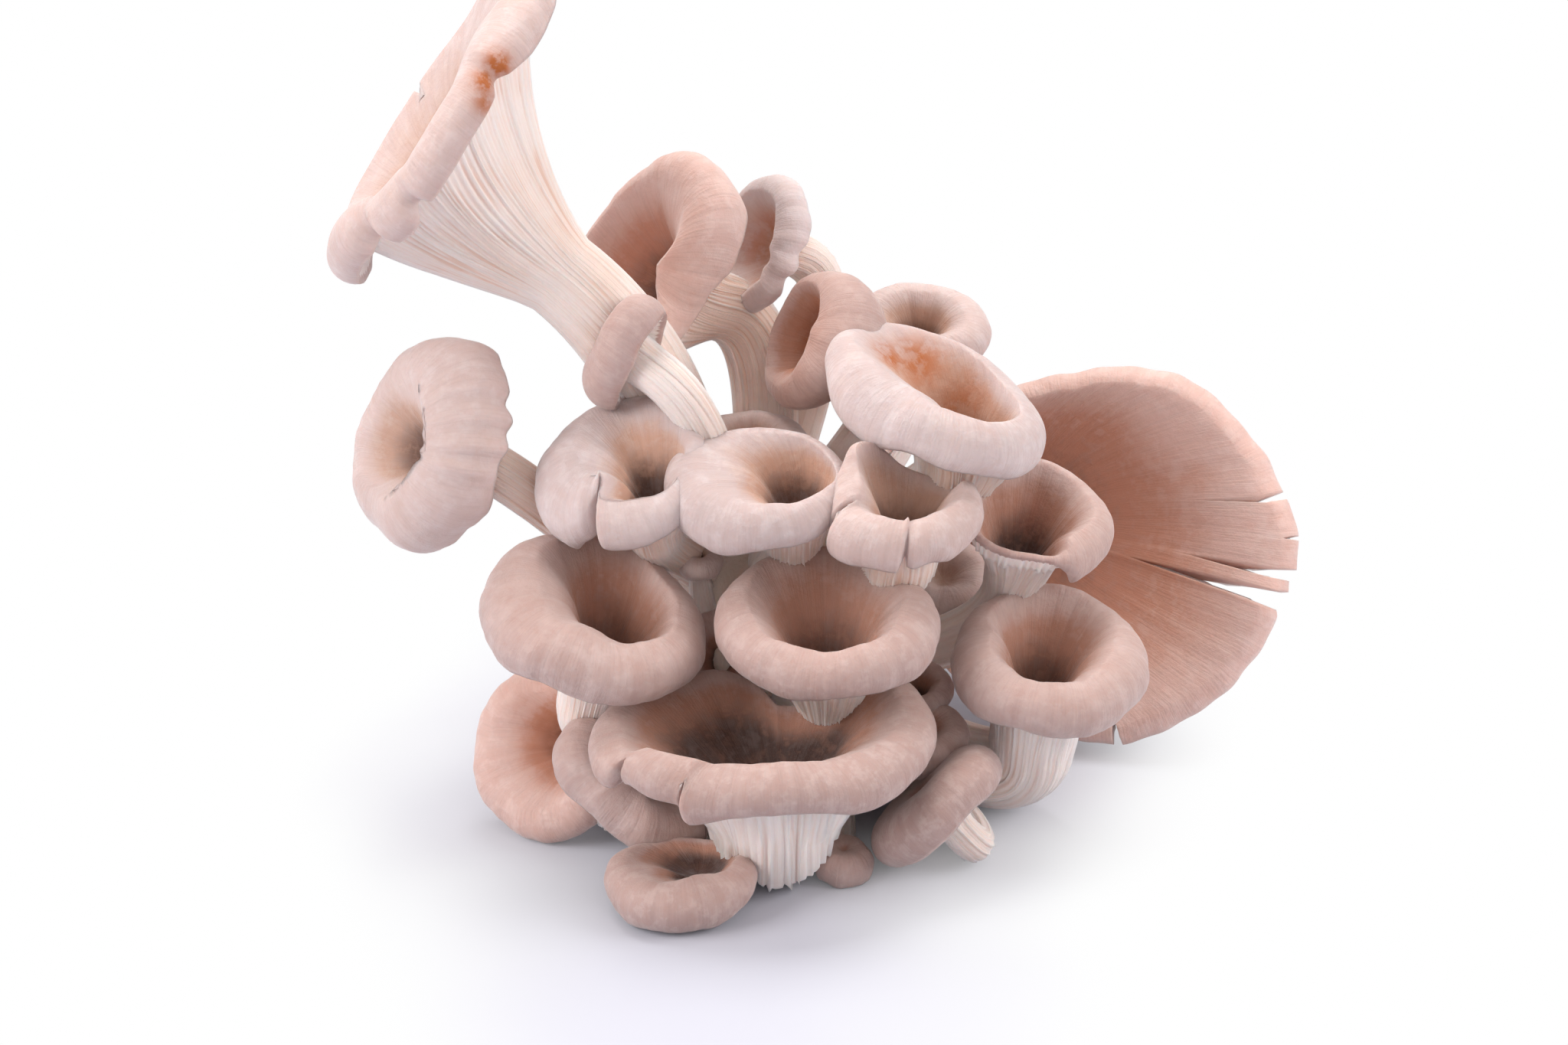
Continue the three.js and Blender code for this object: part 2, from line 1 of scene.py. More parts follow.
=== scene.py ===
"""Builds the looks of an oyster mushroom cluster: funnels on gilled stems, grown from one fused foot.

Sizes are in millimetres and degrees, on the frame's own axes. Meshes are written in metres.
"""

import logging
import math
from dataclasses import dataclass
from enum import Enum

import bmesh
import bpy
import numpy as np
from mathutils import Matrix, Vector


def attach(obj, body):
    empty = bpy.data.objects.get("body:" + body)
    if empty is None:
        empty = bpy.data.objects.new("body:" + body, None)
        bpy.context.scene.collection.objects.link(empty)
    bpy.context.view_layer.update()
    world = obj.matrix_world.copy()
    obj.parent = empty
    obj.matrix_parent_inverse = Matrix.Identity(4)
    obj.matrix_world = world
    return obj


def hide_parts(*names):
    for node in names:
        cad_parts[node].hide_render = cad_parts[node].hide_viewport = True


Point = tuple[float, float, float]
Pair = tuple[float, float]
Colour = tuple[float, float, float, float]
Socket = bpy.types.NodeSocket

MM = 0.001
TABLE_GAP = 0.3  # the lowest any cap or stem reaches
STEEP = 3.2  # how sharply a funnel turns down at its mouth
SEAM = 2e-7  # vertices closer than this many metres are one
BODY = "root"
WHITE: Colour = (1.0, 1.0, 1.0, 1.0)

log = logging.getLogger("mushrooms")

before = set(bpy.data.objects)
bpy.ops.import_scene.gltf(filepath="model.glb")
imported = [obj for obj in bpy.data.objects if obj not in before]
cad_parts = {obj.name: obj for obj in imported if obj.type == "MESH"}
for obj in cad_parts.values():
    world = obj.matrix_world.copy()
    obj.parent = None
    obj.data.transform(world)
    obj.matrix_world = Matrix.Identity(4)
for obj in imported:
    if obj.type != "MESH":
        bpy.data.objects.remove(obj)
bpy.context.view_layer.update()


# Small helpers


def hexa(code: str) -> Colour:
    """Turns a web colour into the linear colour that a shader takes.

    Args:
        code: Six hexadecimal digits.

    Returns:
        Red, green, blue and full alpha, linear.
    """
    shares = [int(code[i : i + 2], 16) / 255 for i in (0, 2, 4)]
    red, green, blue = (
        s / 12.92 if s <= 0.04045 else ((s + 0.055) / 1.055) ** 2.4 for s in shares
    )
    return (red, green, blue, 1.0)


def ease(low: float, high: float, value: np.ndarray | float) -> np.ndarray:
    """Eases from 0 at low to 1 at high.

    Args:
        low: Where the result is 0.
        high: Where the result is 1.
        value: The numbers to place between them.

    Returns:
        Shares from 0 to 1.
    """
    share = np.clip((np.asarray(value, float) - low) / (high - low), 0.0, 1.0)
    return share * share * (3.0 - 2.0 * share)


def ripple(theta: np.ndarray, rng: np.random.Generator, counts: tuple[int, ...]) -> np.ndarray:
    """Makes a seamless ripple round a ring.

    Args:
        theta: Angles round the ring, in degrees.
        rng: Source of the phases.
        counts: How many waves each part of the ripple has round the ring.

    Returns:
        One height for each angle, mostly between -1 and 1.
    """
    total = np.zeros_like(theta)
    for count in counts:
        total += rng.uniform(0.5, 1.0) * np.sin(np.radians(count * theta) + rng.uniform(0, math.tau))
    return total / math.sqrt(len(counts))


def apart(theta: np.ndarray, angle: float) -> np.ndarray:
    """How many degrees each angle is from one angle, either way round."""
    return np.abs((theta - angle + 180) % 360 - 180)


def unit(vector: tuple[float, ...] | np.ndarray) -> np.ndarray:
    """The vector at length one."""
    array = np.asarray(vector, float)
    return array / np.linalg.norm(array)


def placed(name: str, data: bpy.types.ID) -> bpy.types.Object:
    """Puts a new object in the scene.

    Args:
        name: Its name.
        data: Its mesh, light or camera.

    Returns:
        The object.
    """
    thing = bpy.data.objects.new(name, data)
    bpy.context.scene.collection.objects.link(thing)
    return thing


# Named options


class Tone(Enum):
    """How much pigment a cap has. Each value is the tone's name and the record's material slot."""

    BROWN = ("brown", "brown_cap")
    ROSY = ("rosy", "brown_cap")
    PALE = ("pale", "pale_cap_flesh")
    WHITE = ("white", "pale_cap_flesh")
    FOOT = ("foot", "foot_flesh")

    @property
    def slot(self) -> str:
        """The record's material slot."""
        return self.value[1]


class Zone(Enum):
    """The parts of a mushroom's profile, from the foot round to the funnel's bottom."""

    HEEL = 0
    STEM = 1
    GILLS = 2
    MARGIN = 3
    BRIM = 4
    BOWL = 5
    PIT = 6


class Detail(Enum):
    """How finely a mushroom is drawn: stations along stem, gills, margin, brim and bowl."""

    FINE = (30, 18, 6, 16, 26)
    PLAIN = (22, 12, 5, 12, 20)
    SMALL = (14, 8, 4, 10, 14)


# The parts of a mushroom


@dataclass(frozen=True)
class Station:
    """One ring of the skin: its zone and its place along that zone, from 0 to 1, or -1 under the brim."""

    zone: Zone
    at: float


@dataclass(frozen=True)
class RimKey:
    """A change to the brim at one angle, eased to the next key."""

    angle: float
    out: float = 0.0
    up: float = 0.0
    roll: float = 1.0
    mouth: float = 0.5


@dataclass(frozen=True)
class Tear:
    """A slit that runs in from the brim: its middle angle, half its angle at the brim, and its length."""

    angle: float
    half: float
    deep: float


@dataclass(frozen=True)
class Stain:
    """An orange-brown patch: its zone, place along it, angle, radius and strength."""

    zone: Zone
    at: float
    angle: float
    size: float
    strength: float = 1.0


@dataclass(frozen=True)
class Brim:
    """The brim at every column: distance out, lift, roll width and drop, mouth, and where a tear ends."""

    reach: np.ndarray
    lift: np.ndarray
    wide: np.ndarray
    drop: np.ndarray
    mouth: np.ndarray
    limit: np.ndarray

    @property
    def crest(self) -> np.ndarray:
        """Distance from the axis to the top of the brim."""
        return self.reach - self.wide


@dataclass(frozen=True)
class Mushroom:
    """One fruiting body: a curved stem, gills, a rolled brim and a funnel.

    The crown is the middle of the ring along the top of the brim. The funnel faces toward a compass
    direction, tilted off vertical, and angles round the brim start downhill and run through level.
    The stem runs from its foot, off along its rise, and comes to the neck along its arrival. The throat is
    how far downhill and level the funnel's bottom lies from the crown. Dusk darkens the funnel towards its
    bottom, partly the cap's own brown and partly painted shade in the deep funnel; tan tints the skin outside
    it, and warmth the stem and gills.
    """

    name: str
    tone: Tone
    crown: Point
    tilt: float
    toward: float
    reach: Pair
    depth: float
    neck: Pair
    foot: Point
    heel: float
    rise: Point
    throat: Pair = (0.0, 0.0)
    mouth: float = 0.5
    roll: Pair = (5.0, 5.0)
    curl: float = 40.0
    flesh: float = 2.8
    flare: float = 1.8
    pull: float = 0.4
    arrive: Point | None = None
    rim: tuple[RimKey, ...] = ()
    tears: tuple[Tear, ...] = ()
    stains: tuple[Stain, ...] = ()
    gills: int = 56
    blade: float = 1.0
    decurrent: float = 0.55
    flutes: float = 0.05
    wobble: float = 1.0
    dusk: float = 1.0
    warmth: float = 0.3
    tan: float = 0.0
    seed: int = 1
    detail: Detail = Detail.PLAIN

    COLUMNS_PER_GILL = 4
    GILLS_END = 0.97  # as a share of the way out to the crest
    GILL_EDGE = 2.0  # how far below the flesh the gills end, in millimetres
    UNDER = (-1.0, -0.8, -0.55, -0.28)  # stations under the brim
    WANDER = 3.0  # how far gills and ridges stray, in degrees
    TURNS = 12  # steps that carry the stem's axes back from the neck
    DRAWS = {"brim": 0, "gills": 100, "skin": 200, "columns": 300}  # added to the seed
    TEAR_SHAPE = 0.55  # less than 1 gives a slit with near-parallel sides
    SWELL, NICK, LIFT = 0.45, 0.12, 0.5  # ripples of the brim, in millimetres for a cap of usual size
    USUAL_REACH = 20
    UNEVEN_ROLL = 0.07
    LEAST_ROLL = 0.12
    BULGE = 0.12  # of the margin, as a share of its width
    TRUMPET = 0.85  # less than 1 opens the underside sooner
    MARGIN_PACK, BOWL_PACK = 0.8, 1.15  # how stations crowd: less than 1 outward, more than 1 inward
    FINE_ANGLES = 7201  # at which the spacing of columns is summed
    TEAR_CROWD, TEAR_REACH, NARROW_TEAR = 5.0, 1.3, 0.6  # how columns crowd at a tear
    UNEVEN_GILLS, GILL_WIDTHS = 0.22, (0.5, 1.6)  # spread and limits, as shares of the usual width
    BLADE_HEIGHTS, BLADE_SHARPNESS = (0.25, 1.2), 1.6
    SHORT_STARTS = (0.05, 0.6)  # where every other gill starts, on the way out
    ENDS_STRAY = (0.25, 0.2)  # how much sooner and later than its usual end a gill ends on the stem
    STEM_FADE, CAP_FADE, MARGIN_FADE = 0.3, 0.2, 0.7
    SPREAD = 1.1  # most height of a gill's blade, as a share of the room it has
    VALLEY = 0.4  # how far down its blade a gill starts, as a share of its height
    GRAIN_GAP = 40.0  # between the grains of two mushrooms, in millimetres
    TINY = 1e-9

    def draws(self, what: str) -> np.random.Generator:
        """Starts the random draws for one part of the mushroom."""
        return np.random.default_rng(self.seed + self.DRAWS[what])

    # Layout of the skin

    def stations(self) -> list[Station]:
        """The rings of the skin, from the heel round to the bottom of the funnel."""
        stem, gills, margin, brim, bowl = self.detail.value
        return [
            Station(Zone.HEEL, 0.0),
            *(Station(Zone.STEM, i / stem) for i in range(stem + 1)),
            *(Station(Zone.GILLS, i / gills) for i in range(1, gills + 1)),
            *(Station(Zone.MARGIN, (i / (margin + 1)) ** self.MARGIN_PACK) for i in range(1, margin + 1)),
            *(Station(Zone.BRIM, at) for at in self.UNDER),
            *(Station(Zone.BRIM, i / brim) for i in range(brim)),
            *(Station(Zone.BOWL, (1 - i / bowl) ** self.BOWL_PACK) for i in range(bowl)),
            Station(Zone.PIT, 0.0),
        ]

    def angles(self) -> np.ndarray:
        """Spaces the columns round the cap: gills are unevenly wide, and closer where the brim is torn.

        Returns:
            One angle for each column, in degrees.
        """
        rng = self.draws("columns")
        width = np.clip(rng.normal(1.0, self.UNEVEN_GILLS, self.gills), *self.GILL_WIDTHS)
        edges = np.concatenate([[0.0], np.cumsum(width)]) / width.sum() * 360
        columns = np.arange(self.gills * self.COLUMNS_PER_GILL) / self.COLUMNS_PER_GILL
        even = np.interp(columns, np.arange(self.gills + 1), edges)
        fine = np.linspace(0.0, 360.0, self.FINE_ANGLES)
        density = np.ones_like(fine)
        for tear in self.tears:
            away = apart(fine, tear.angle)
            crowd = np.exp(-((away / (tear.half * self.TEAR_REACH)) ** 2))
            density += self.TEAR_CROWD / max(tear.half, self.NARROW_TEAR) * crowd
        total = np.concatenate([[0.0], np.cumsum((density[1:] + density[:-1]) / 2)])
        return np.interp(even / 360 * total[-1], total, fine)

    def axes(self) -> tuple[np.ndarray, np.ndarray, np.ndarray]:
        """The cap's own axes: out of the funnel, downhill and level."""
        tilt, toward = math.radians(self.tilt), math.radians(self.toward)
        flat = np.array([math.cos(toward), math.sin(toward), 0.0])
        face = math.sin(tilt) * flat + np.array([0.0, 0.0, math.cos(tilt)])
        down = math.cos(tilt) * flat - np.array([0.0, 0.0, math.sin(tilt)])
        return face, down, np.cross(face, down)

    # The brim

    def keyed(self, theta: np.ndarray, what: str, rest: float) -> np.ndarray:
        """Reads one of the brim keys' values round the brim.

        Args:
            theta: Angles, in degrees.
            what: Name of the field of RimKey.
            rest: The value where there are no keys.

        Returns:
            One value for each angle.
        """
        if not self.rim:
            return np.full_like(theta, rest)
        keys = sorted(self.rim, key=lambda key: key.angle)
        at = np.array([key.angle for key in keys], float)
        values = np.array([getattr(key, what) for key in keys], float)
        at = np.concatenate([[at[-1] - 360], at, [at[0] + 360, at[1] + 360]])
        values = np.concatenate([[values[-1]], values, values[:2]])
        slopes = np.diff(values) / np.diff(at)
        lead, follow = slopes[:-1], slopes[1:]
        same = lead * follow > 0
        inner = np.where(same, 2 * lead * follow / np.where(same, lead + follow, 1.0), 0.0)
        turned = (theta - at[1]) % 360 + at[1]
        left = np.clip(np.searchsorted(at, turned, side="right") - 1, 1, len(at) - 3)
        span = at[left + 1] - at[left]
        share = (turned - at[left]) / span
        start, end = inner[left - 1] * span, inner[left % len(keys)] * span
        rise = values[left + 1] - values[left]
        curve = 3 * rise - 2 * start - end + share * (start + end - 2 * rise)
        return values[left] + share * (start + share * curve)

    def brim(self, theta: np.ndarray) -> Brim:
        """Shapes the brim round the cap.

        Args:
            theta: Column angles, in degrees.

        Returns:
            The brim at each column.
        """
        rng = self.draws("brim")
        cos, sin = np.cos(np.radians(theta)), np.sin(np.radians(theta))
        size = self.wobble * (sum(self.reach) / 2) / self.USUAL_REACH
        reach = 1 / np.hypot(cos / self.reach[0], sin / self.reach[1])
        swell = self.SWELL * size * ripple(theta, rng, (2, 3, 5, 7))
        reach += swell + self.NICK * size * ripple(theta, rng, (13, 19, 29))
        reach += self.keyed(theta, "out", 0.0)
        lift = self.LIFT * size * ripple(theta, rng, (2, 3, 4, 6)) + self.keyed(theta, "up", 0.0)
        uneven = 1 + self.UNEVEN_ROLL * self.wobble * ripple(theta, rng, (3, 5, 8))
        gain = self.keyed(theta, "roll", 1.0) * uneven
        gain = np.maximum(gain, self.LEAST_ROLL)
        cut = np.zeros_like(theta)
        for tear in self.tears:
            away = apart(theta, tear.angle) / tear.half
            cut = np.maximum(cut, tear.deep * (1 - np.minimum(away, 1)) ** self.TEAR_SHAPE)
        wide = self.roll[0] * gain
        mouth = self.keyed(theta, "mouth", self.mouth)
        return Brim(reach, lift, wide, self.roll[1] * gain, mouth, reach - cut)

    def sunk(self, brim: Brim, share: np.ndarray | float) -> np.ndarray:
        """How far down the funnel its wall is at a share of the crest: 0 at the crest, 1 at the bottom."""
        fall = 1 / (1 + (share / brim.mouth) ** STEEP)
        edge = 1 / (1 + brim.mouth**-STEEP)
        return (fall - edge) / (1 - edge)

    def bowl(self, brim: Brim, out: np.ndarray) -> np.ndarray:
        """Height of the funnel's inside, over the crown, at a distance from the axis."""
        share = np.clip(out / brim.crest, 0.0, 1.0)
        return brim.lift * share**2 - self.depth * self.sunk(brim, share)

    def underside(self, brim: Brim, out: np.ndarray) -> np.ndarray:
        """Height of the gilled underside, over the crown, at a distance from the axis."""
        radius, below = self.neck
        edge = self.flesh + self.GILL_EDGE
        at = np.clip((out - radius) / (brim.crest * self.GILLS_END - radius), 0.0, 1.0)
        trumpet = -below + (below - edge + brim.lift) * (1 - (1 - at**self.TRUMPET) ** self.flare)
        return np.minimum(trumpet, self.bowl(brim, out) - self.flesh)

    def cap_ring(self, brim: Brim, station: Station) -> tuple[np.ndarray, np.ndarray]:
        """Places one ring of the cap, before its axis is offset.

        Args:
            brim: The brim at every column.
            station: The ring.

        Returns:
            Distance from the axis and height over the crown, for each column.
        """
        at = station.at
        if station.zone in (Zone.BOWL, Zone.PIT):
            out = np.minimum(brim.crest * at, brim.limit)
            return out, self.bowl(brim, out)
        if station.zone is Zone.GILLS:
            out = self.neck[0] + (brim.crest * self.GILLS_END - self.neck[0]) * at
            out = np.minimum(out, brim.limit)
            return out, self.underside(brim, out)
        curl = -math.radians(self.curl)
        if station.zone is Zone.MARGIN:
            inner = brim.crest * self.GILLS_END
            edge = brim.crest + brim.wide * math.cos(curl)
            start = self.underside(brim, inner)
            end = brim.lift - brim.drop + brim.drop * math.sin(curl)
            out = inner + (edge - inner) * at
            up = start + (end - start) * at + self.BULGE * (edge - inner) * math.sin(math.pi * at)
        else:
            turn = -curl * at if at < 0 else at * math.pi / 2
            out = brim.crest + brim.wide * math.cos(turn)
            up = brim.lift - brim.drop + brim.drop * math.sin(turn)
        torn = out > brim.limit + 1e-6
        held = np.minimum(out, brim.limit)
        low = self.underside(brim, held)
        high = self.bowl(brim, held)
        rise = 0.0 if station.zone is Zone.MARGIN else (1 + at) / 2
        return held, np.where(torn, low + (high - low) * rise, up)

    # The stem

    def stem_ring(self, at: float) -> tuple[np.ndarray, np.ndarray, np.ndarray, float]:
        """Places one ring of the stem, with its axes carried back from the neck without twisting.

        Args:
            at: 0 at the heel, 1 at the neck.

        Returns:
            The ring's middle, its downhill and level axes, and its radius.
        """
        face, down, level = self.axes()
        foot = np.array(self.foot)
        neck = np.array(self.crown) + down * self.throat[0] + level * self.throat[1] - face * self.neck[1]
        arrive = unit(self.arrive) if self.arrive else face
        hold = neck - arrive * self.pull * np.linalg.norm(neck - foot)
        points = [foot, foot + np.array(self.rise), hold, neck]
        shares = [(1 - at) ** 3, 3 * at * (1 - at) ** 2, 3 * at**2 * (1 - at), at**3]
        centre = sum(p * s for p, s in zip(points, shares))
        ring_down, ring_level, facing = Vector(down), Vector(level), Vector(face)
        for back in np.linspace(1.0, at, self.TURNS):
            slopes = [(1 - back) ** 2, 2 * back * (1 - back), back**2]
            tangent = Vector(sum((b - a) * s for a, b, s in zip(points, points[1:], slopes))).normalized()
            turn = facing.rotation_difference(tangent)
            ring_down.rotate(turn)
            ring_level.rotate(turn)
            facing = tangent
        radius = self.heel + (self.neck[0] - self.heel) * at
        return centre, np.array(ring_down), np.array(ring_level), radius

    # The skin

    def gill_envelope(self, stations: list[Station]) -> tuple[np.ndarray, np.ndarray]:
        """Says where each gill stands out, and how the blades cross a column.

        Args:
            stations: The rings of the skin.

        Returns:
            The strength of the gill at each ring and column, and the blade's height at each column.
        """
        rng = self.draws("gills")
        column = np.arange(self.gills * self.COLUMNS_PER_GILL)
        gill = column // self.COLUMNS_PER_GILL
        phase = (column % self.COLUMNS_PER_GILL) / self.COLUMNS_PER_GILL
        tall = rng.uniform(*self.BLADE_HEIGHTS, self.gills)[gill]
        blade = (0.5 - 0.5 * np.cos(math.tau * phase)) ** self.BLADE_SHARPNESS * tall
        beat = rng.uniform(0, math.tau, self.gills)[gill]
        starts = rng.uniform(*self.SHORT_STARTS, self.gills)[gill]
        early, late = self.ENDS_STRAY
        ends = rng.uniform(self.decurrent - early, self.decurrent + late, self.gills)[gill]
        short = gill % 2 == 1
        rows = []
        for station in stations:
            uneven = 0.8 + 0.2 * np.sin(beat + 6 * station.at)
            if station.zone is Zone.STEM:
                fade = ease(0, 1, (station.at - ends) / self.STEM_FADE + 0.5)
                rows.append(uneven * np.where(short, 0.0, fade))
            elif station.zone is Zone.GILLS:
                fade = ease(0, 1, (station.at - starts) / self.CAP_FADE + 0.5)
                rows.append(uneven * np.where(short, fade, 1.0))
            elif station.zone is Zone.MARGIN:
                rows.append(np.full(len(column), (1 - station.at) ** self.MARGIN_FADE))
            else:
                rows.append(np.zeros(len(column)))
        return np.array(rows), blade

    def rings(self, theta: np.ndarray, stations: list[Station]) -> np.ndarray:
        """Places every point of the skin, with the stem's flutes, before the gills.

        Args:
            theta: Column angles, in degrees.
            stations: The rings of the skin.

        Returns:
            Points by ring and column, in millimetres.
        """
        rng = self.draws("skin")
        face, down, level = self.axes()
        crown = np.array(self.crown)
        brim = self.brim(theta)
        drift = [ripple(theta, rng, (4, 7, 11)) for _ in range(4)]
        flute = [ripple(theta, rng, (3, 5, 7, 9, 12)) for _ in range(3)]
        rows = []
        for station in stations:
            at = station.at
            if station.zone in (Zone.HEEL, Zone.STEM):
                centre, ring_down, ring_level, radius = self.stem_ring(at)
                wander = self.WANDER * (drift[0] * math.cos(5 * at) + drift[1] * math.sin(5 * at))
                spun = np.radians(theta + wander)
                waves = flute[0] * math.cos(3 * at) + flute[1] * math.sin(3 * at)
                waves = waves + 0.5 * flute[2] * math.cos(9 * at)
                if station.zone is Zone.HEEL:
                    radius = 0.0
                size = radius * (1 + self.flutes * waves * (0.4 + 0.6 * math.sin(math.pi * min(1, at + 0.1))))
                point = centre + np.outer(np.cos(spun) * size, ring_down)
                point += np.outer(np.sin(spun) * size, ring_level)
            else:
                out, up = self.cap_ring(brim, station)
                offset = 1 - at**2 if station.zone in (Zone.GILLS, Zone.BOWL, Zone.PIT) else 0.0
                wander = 0.0
                if station.zone is Zone.GILLS:
                    swing = 5 + 3 * at
                    sway = drift[0] * math.cos(swing) + drift[1] * math.sin(swing)
                    wander = self.WANDER * (1 - at) * sway
                spun = np.radians(theta + wander)
                point = crown + np.outer(up, face)
                point += np.outer(np.cos(spun) * out + self.throat[0] * offset, down)
                point += np.outer(np.sin(spun) * out + self.throat[1] * offset, level)
            rows.append(point)
        return np.array(rows)

    def skin(self) -> tuple[np.ndarray, dict[str, np.ndarray]]:
        """Works out every point of the skin and what its colours depend on.

        Returns:
            Points by ring and column in millimetres, and the named values by ring and column.
        """
        theta = self.angles()
        stations = self.stations()
        points = self.rings(theta, stations)
        ridge, blade = self.gill_envelope(stations)
        along = np.zeros_like(points)
        along[1:-1] = points[2:] - points[:-2]
        across = np.roll(points, -1, axis=1) - np.roll(points, 1, axis=1)
        normals = np.cross(across, along)
        length = np.linalg.norm(normals, axis=2, keepdims=True)
        normals = np.where(length > self.TINY, normals / np.maximum(length, self.TINY), 0.0)
        spread = np.linalg.norm(across, axis=2) * self.COLUMNS_PER_GILL / 2
        height = self.blade * np.minimum(1.0, spread * self.SPREAD)
        raised = ridge * height * (blade - self.VALLEY)
        points = points + normals * raised[..., None]
        points[..., 2] = np.maximum(points[..., 2], TABLE_GAP)
        return points, self.values(theta, stations, points, ridge * blade)

    def values(
        self, theta: np.ndarray, stations: list[Station], points: np.ndarray, ridge: np.ndarray
    ) -> dict[str, np.ndarray]:
        """Works out what the colours depend on.

        Args:
            theta: Column angles, in degrees.
            stations: The rings of the skin.
            points: The skin's points, by ring and column.
            ridge: How far each point is up a gill's blade.

        Returns:
            The named values, by ring and column.
        """
        shape = points.shape[:2]
        brim = self.brim(theta)
        cap, turn, hollow, gill, warm = (np.zeros(shape) for _ in range(5))
        for i, station in enumerate(stations):
            if station.zone in (Zone.HEEL, Zone.STEM, Zone.GILLS):
                warm[i] = self.warmth * (1 - 0.5 * station.at * (station.zone is Zone.GILLS))
            if station.zone in (Zone.BOWL, Zone.PIT):
                # Hollow grows towards the funnel's bottom and darkens the skin there: partly the cap's brown,
                # partly painted shade in the deep funnel.
                cap[i], turn[i], hollow[i] = 1, 1, self.sunk(brim, station.at) * self.dusk
            elif station.zone is Zone.BRIM:
                cap[i] = 1
                turn[i] = (1 + math.sin(station.at * math.pi / 2)) / 2
            elif station.zone is Zone.MARGIN:
                cap[i] = ease(0.7, 1.0, station.at)
                gill[i] = 1 - cap[i]
            elif station.zone is Zone.GILLS:
                gill[i] = 1
            else:
                gill[i] = ease(self.decurrent - 0.3, 1.0, station.at)
        steps = np.linalg.norm(np.diff(points.mean(axis=1), axis=0), axis=1)
        girth = np.linalg.norm(points - points.mean(axis=1, keepdims=True), axis=2).mean(axis=1)
        steps += np.abs(np.diff(girth))
        travel = np.concatenate([[0.0], np.cumsum(steps)])
        mean = sum(self.reach) / 2
        spot = (np.cos(np.radians(theta)) * mean, np.sin(np.radians(theta)) * mean, travel[:, None])
        fibre = np.stack([np.broadcast_to(part, shape) for part in spot], axis=2)
        fibre[..., 2] += self.seed * self.GRAIN_GAP
        stain = np.zeros(shape)
        for patch in self.stains:
            rows = [i for i, s in enumerate(stations) if s.zone is patch.zone]
            row = min(rows, key=lambda i: abs(stations[i].at - patch.at))
            column = int(np.argmin(apart(theta, patch.angle)))
            gap = np.linalg.norm(points - points[row, column], axis=2) / patch.size
            stain = np.maximum(stain, patch.strength * np.exp(-(gap**2)))
        named = {"cap": cap, "turn": turn, "hollow": hollow, "gill": gill, "ridge": ridge, "stain": stain}
        return {**named, "warm": warm, "tan": np.full(shape, self.tan), "fibre": fibre}

    def build(self) -> bpy.types.Object:
        """Builds the mushroom's mesh, with its named values as attributes.

        Returns:
            The piece, at the origin, with its place in its mesh.
        """
        return wrapped(self.name + "_flesh", *self.skin())


def wrapped(name: str, points: np.ndarray, values: dict[str, np.ndarray]) -> bpy.types.Object:
    """Wraps a flat grid into a closed skin, sewn along its seam and gathered at both poles.

    Args:
        name: The piece's name.
        points: Places by ring and column, in millimetres. The first and last rings are poles.
        values: Named values by ring and column, stored as the mesh's attributes.

    Returns:
        The piece.
    """
    rings, columns = points.shape[:2]
    skin = bmesh.new()
    bmesh.ops.create_grid(skin, x_segments=columns, y_segments=rings - 1, size=1.0)
    mesh = bpy.data.meshes.new(name)
    skin.to_mesh(mesh)
    where = np.zeros(len(mesh.vertices) * 3, np.float32)
    mesh.vertices.foreach_get("co", where)
    where = (where.reshape(-1, 3) + 1) / 2
    column = np.rint(where[:, 0] * columns).astype(int) % columns
    row = np.rint(where[:, 1] * (rings - 1)).astype(int)
    mesh.vertices.foreach_set("co", (points[row, column] * MM).astype(np.float32).ravel())
    for key, value in values.items():
        picked = value[row, column].astype(np.float32)
        kind, field = ("FLOAT_VECTOR", "vector") if picked.ndim == 2 else ("FLOAT", "value")
        mesh.attributes.new(key, kind, "POINT").data.foreach_set(field, picked.ravel())
    skin.clear()
    skin.from_mesh(mesh)
    bmesh.ops.remove_doubles(skin, verts=skin.verts, dist=SEAM)
    bmesh.ops.recalc_face_normals(skin, faces=skin.faces)
    skin.to_mesh(mesh)
    skin.free()
    mesh.shade_smooth()
    return placed(name, mesh)


# Finishes


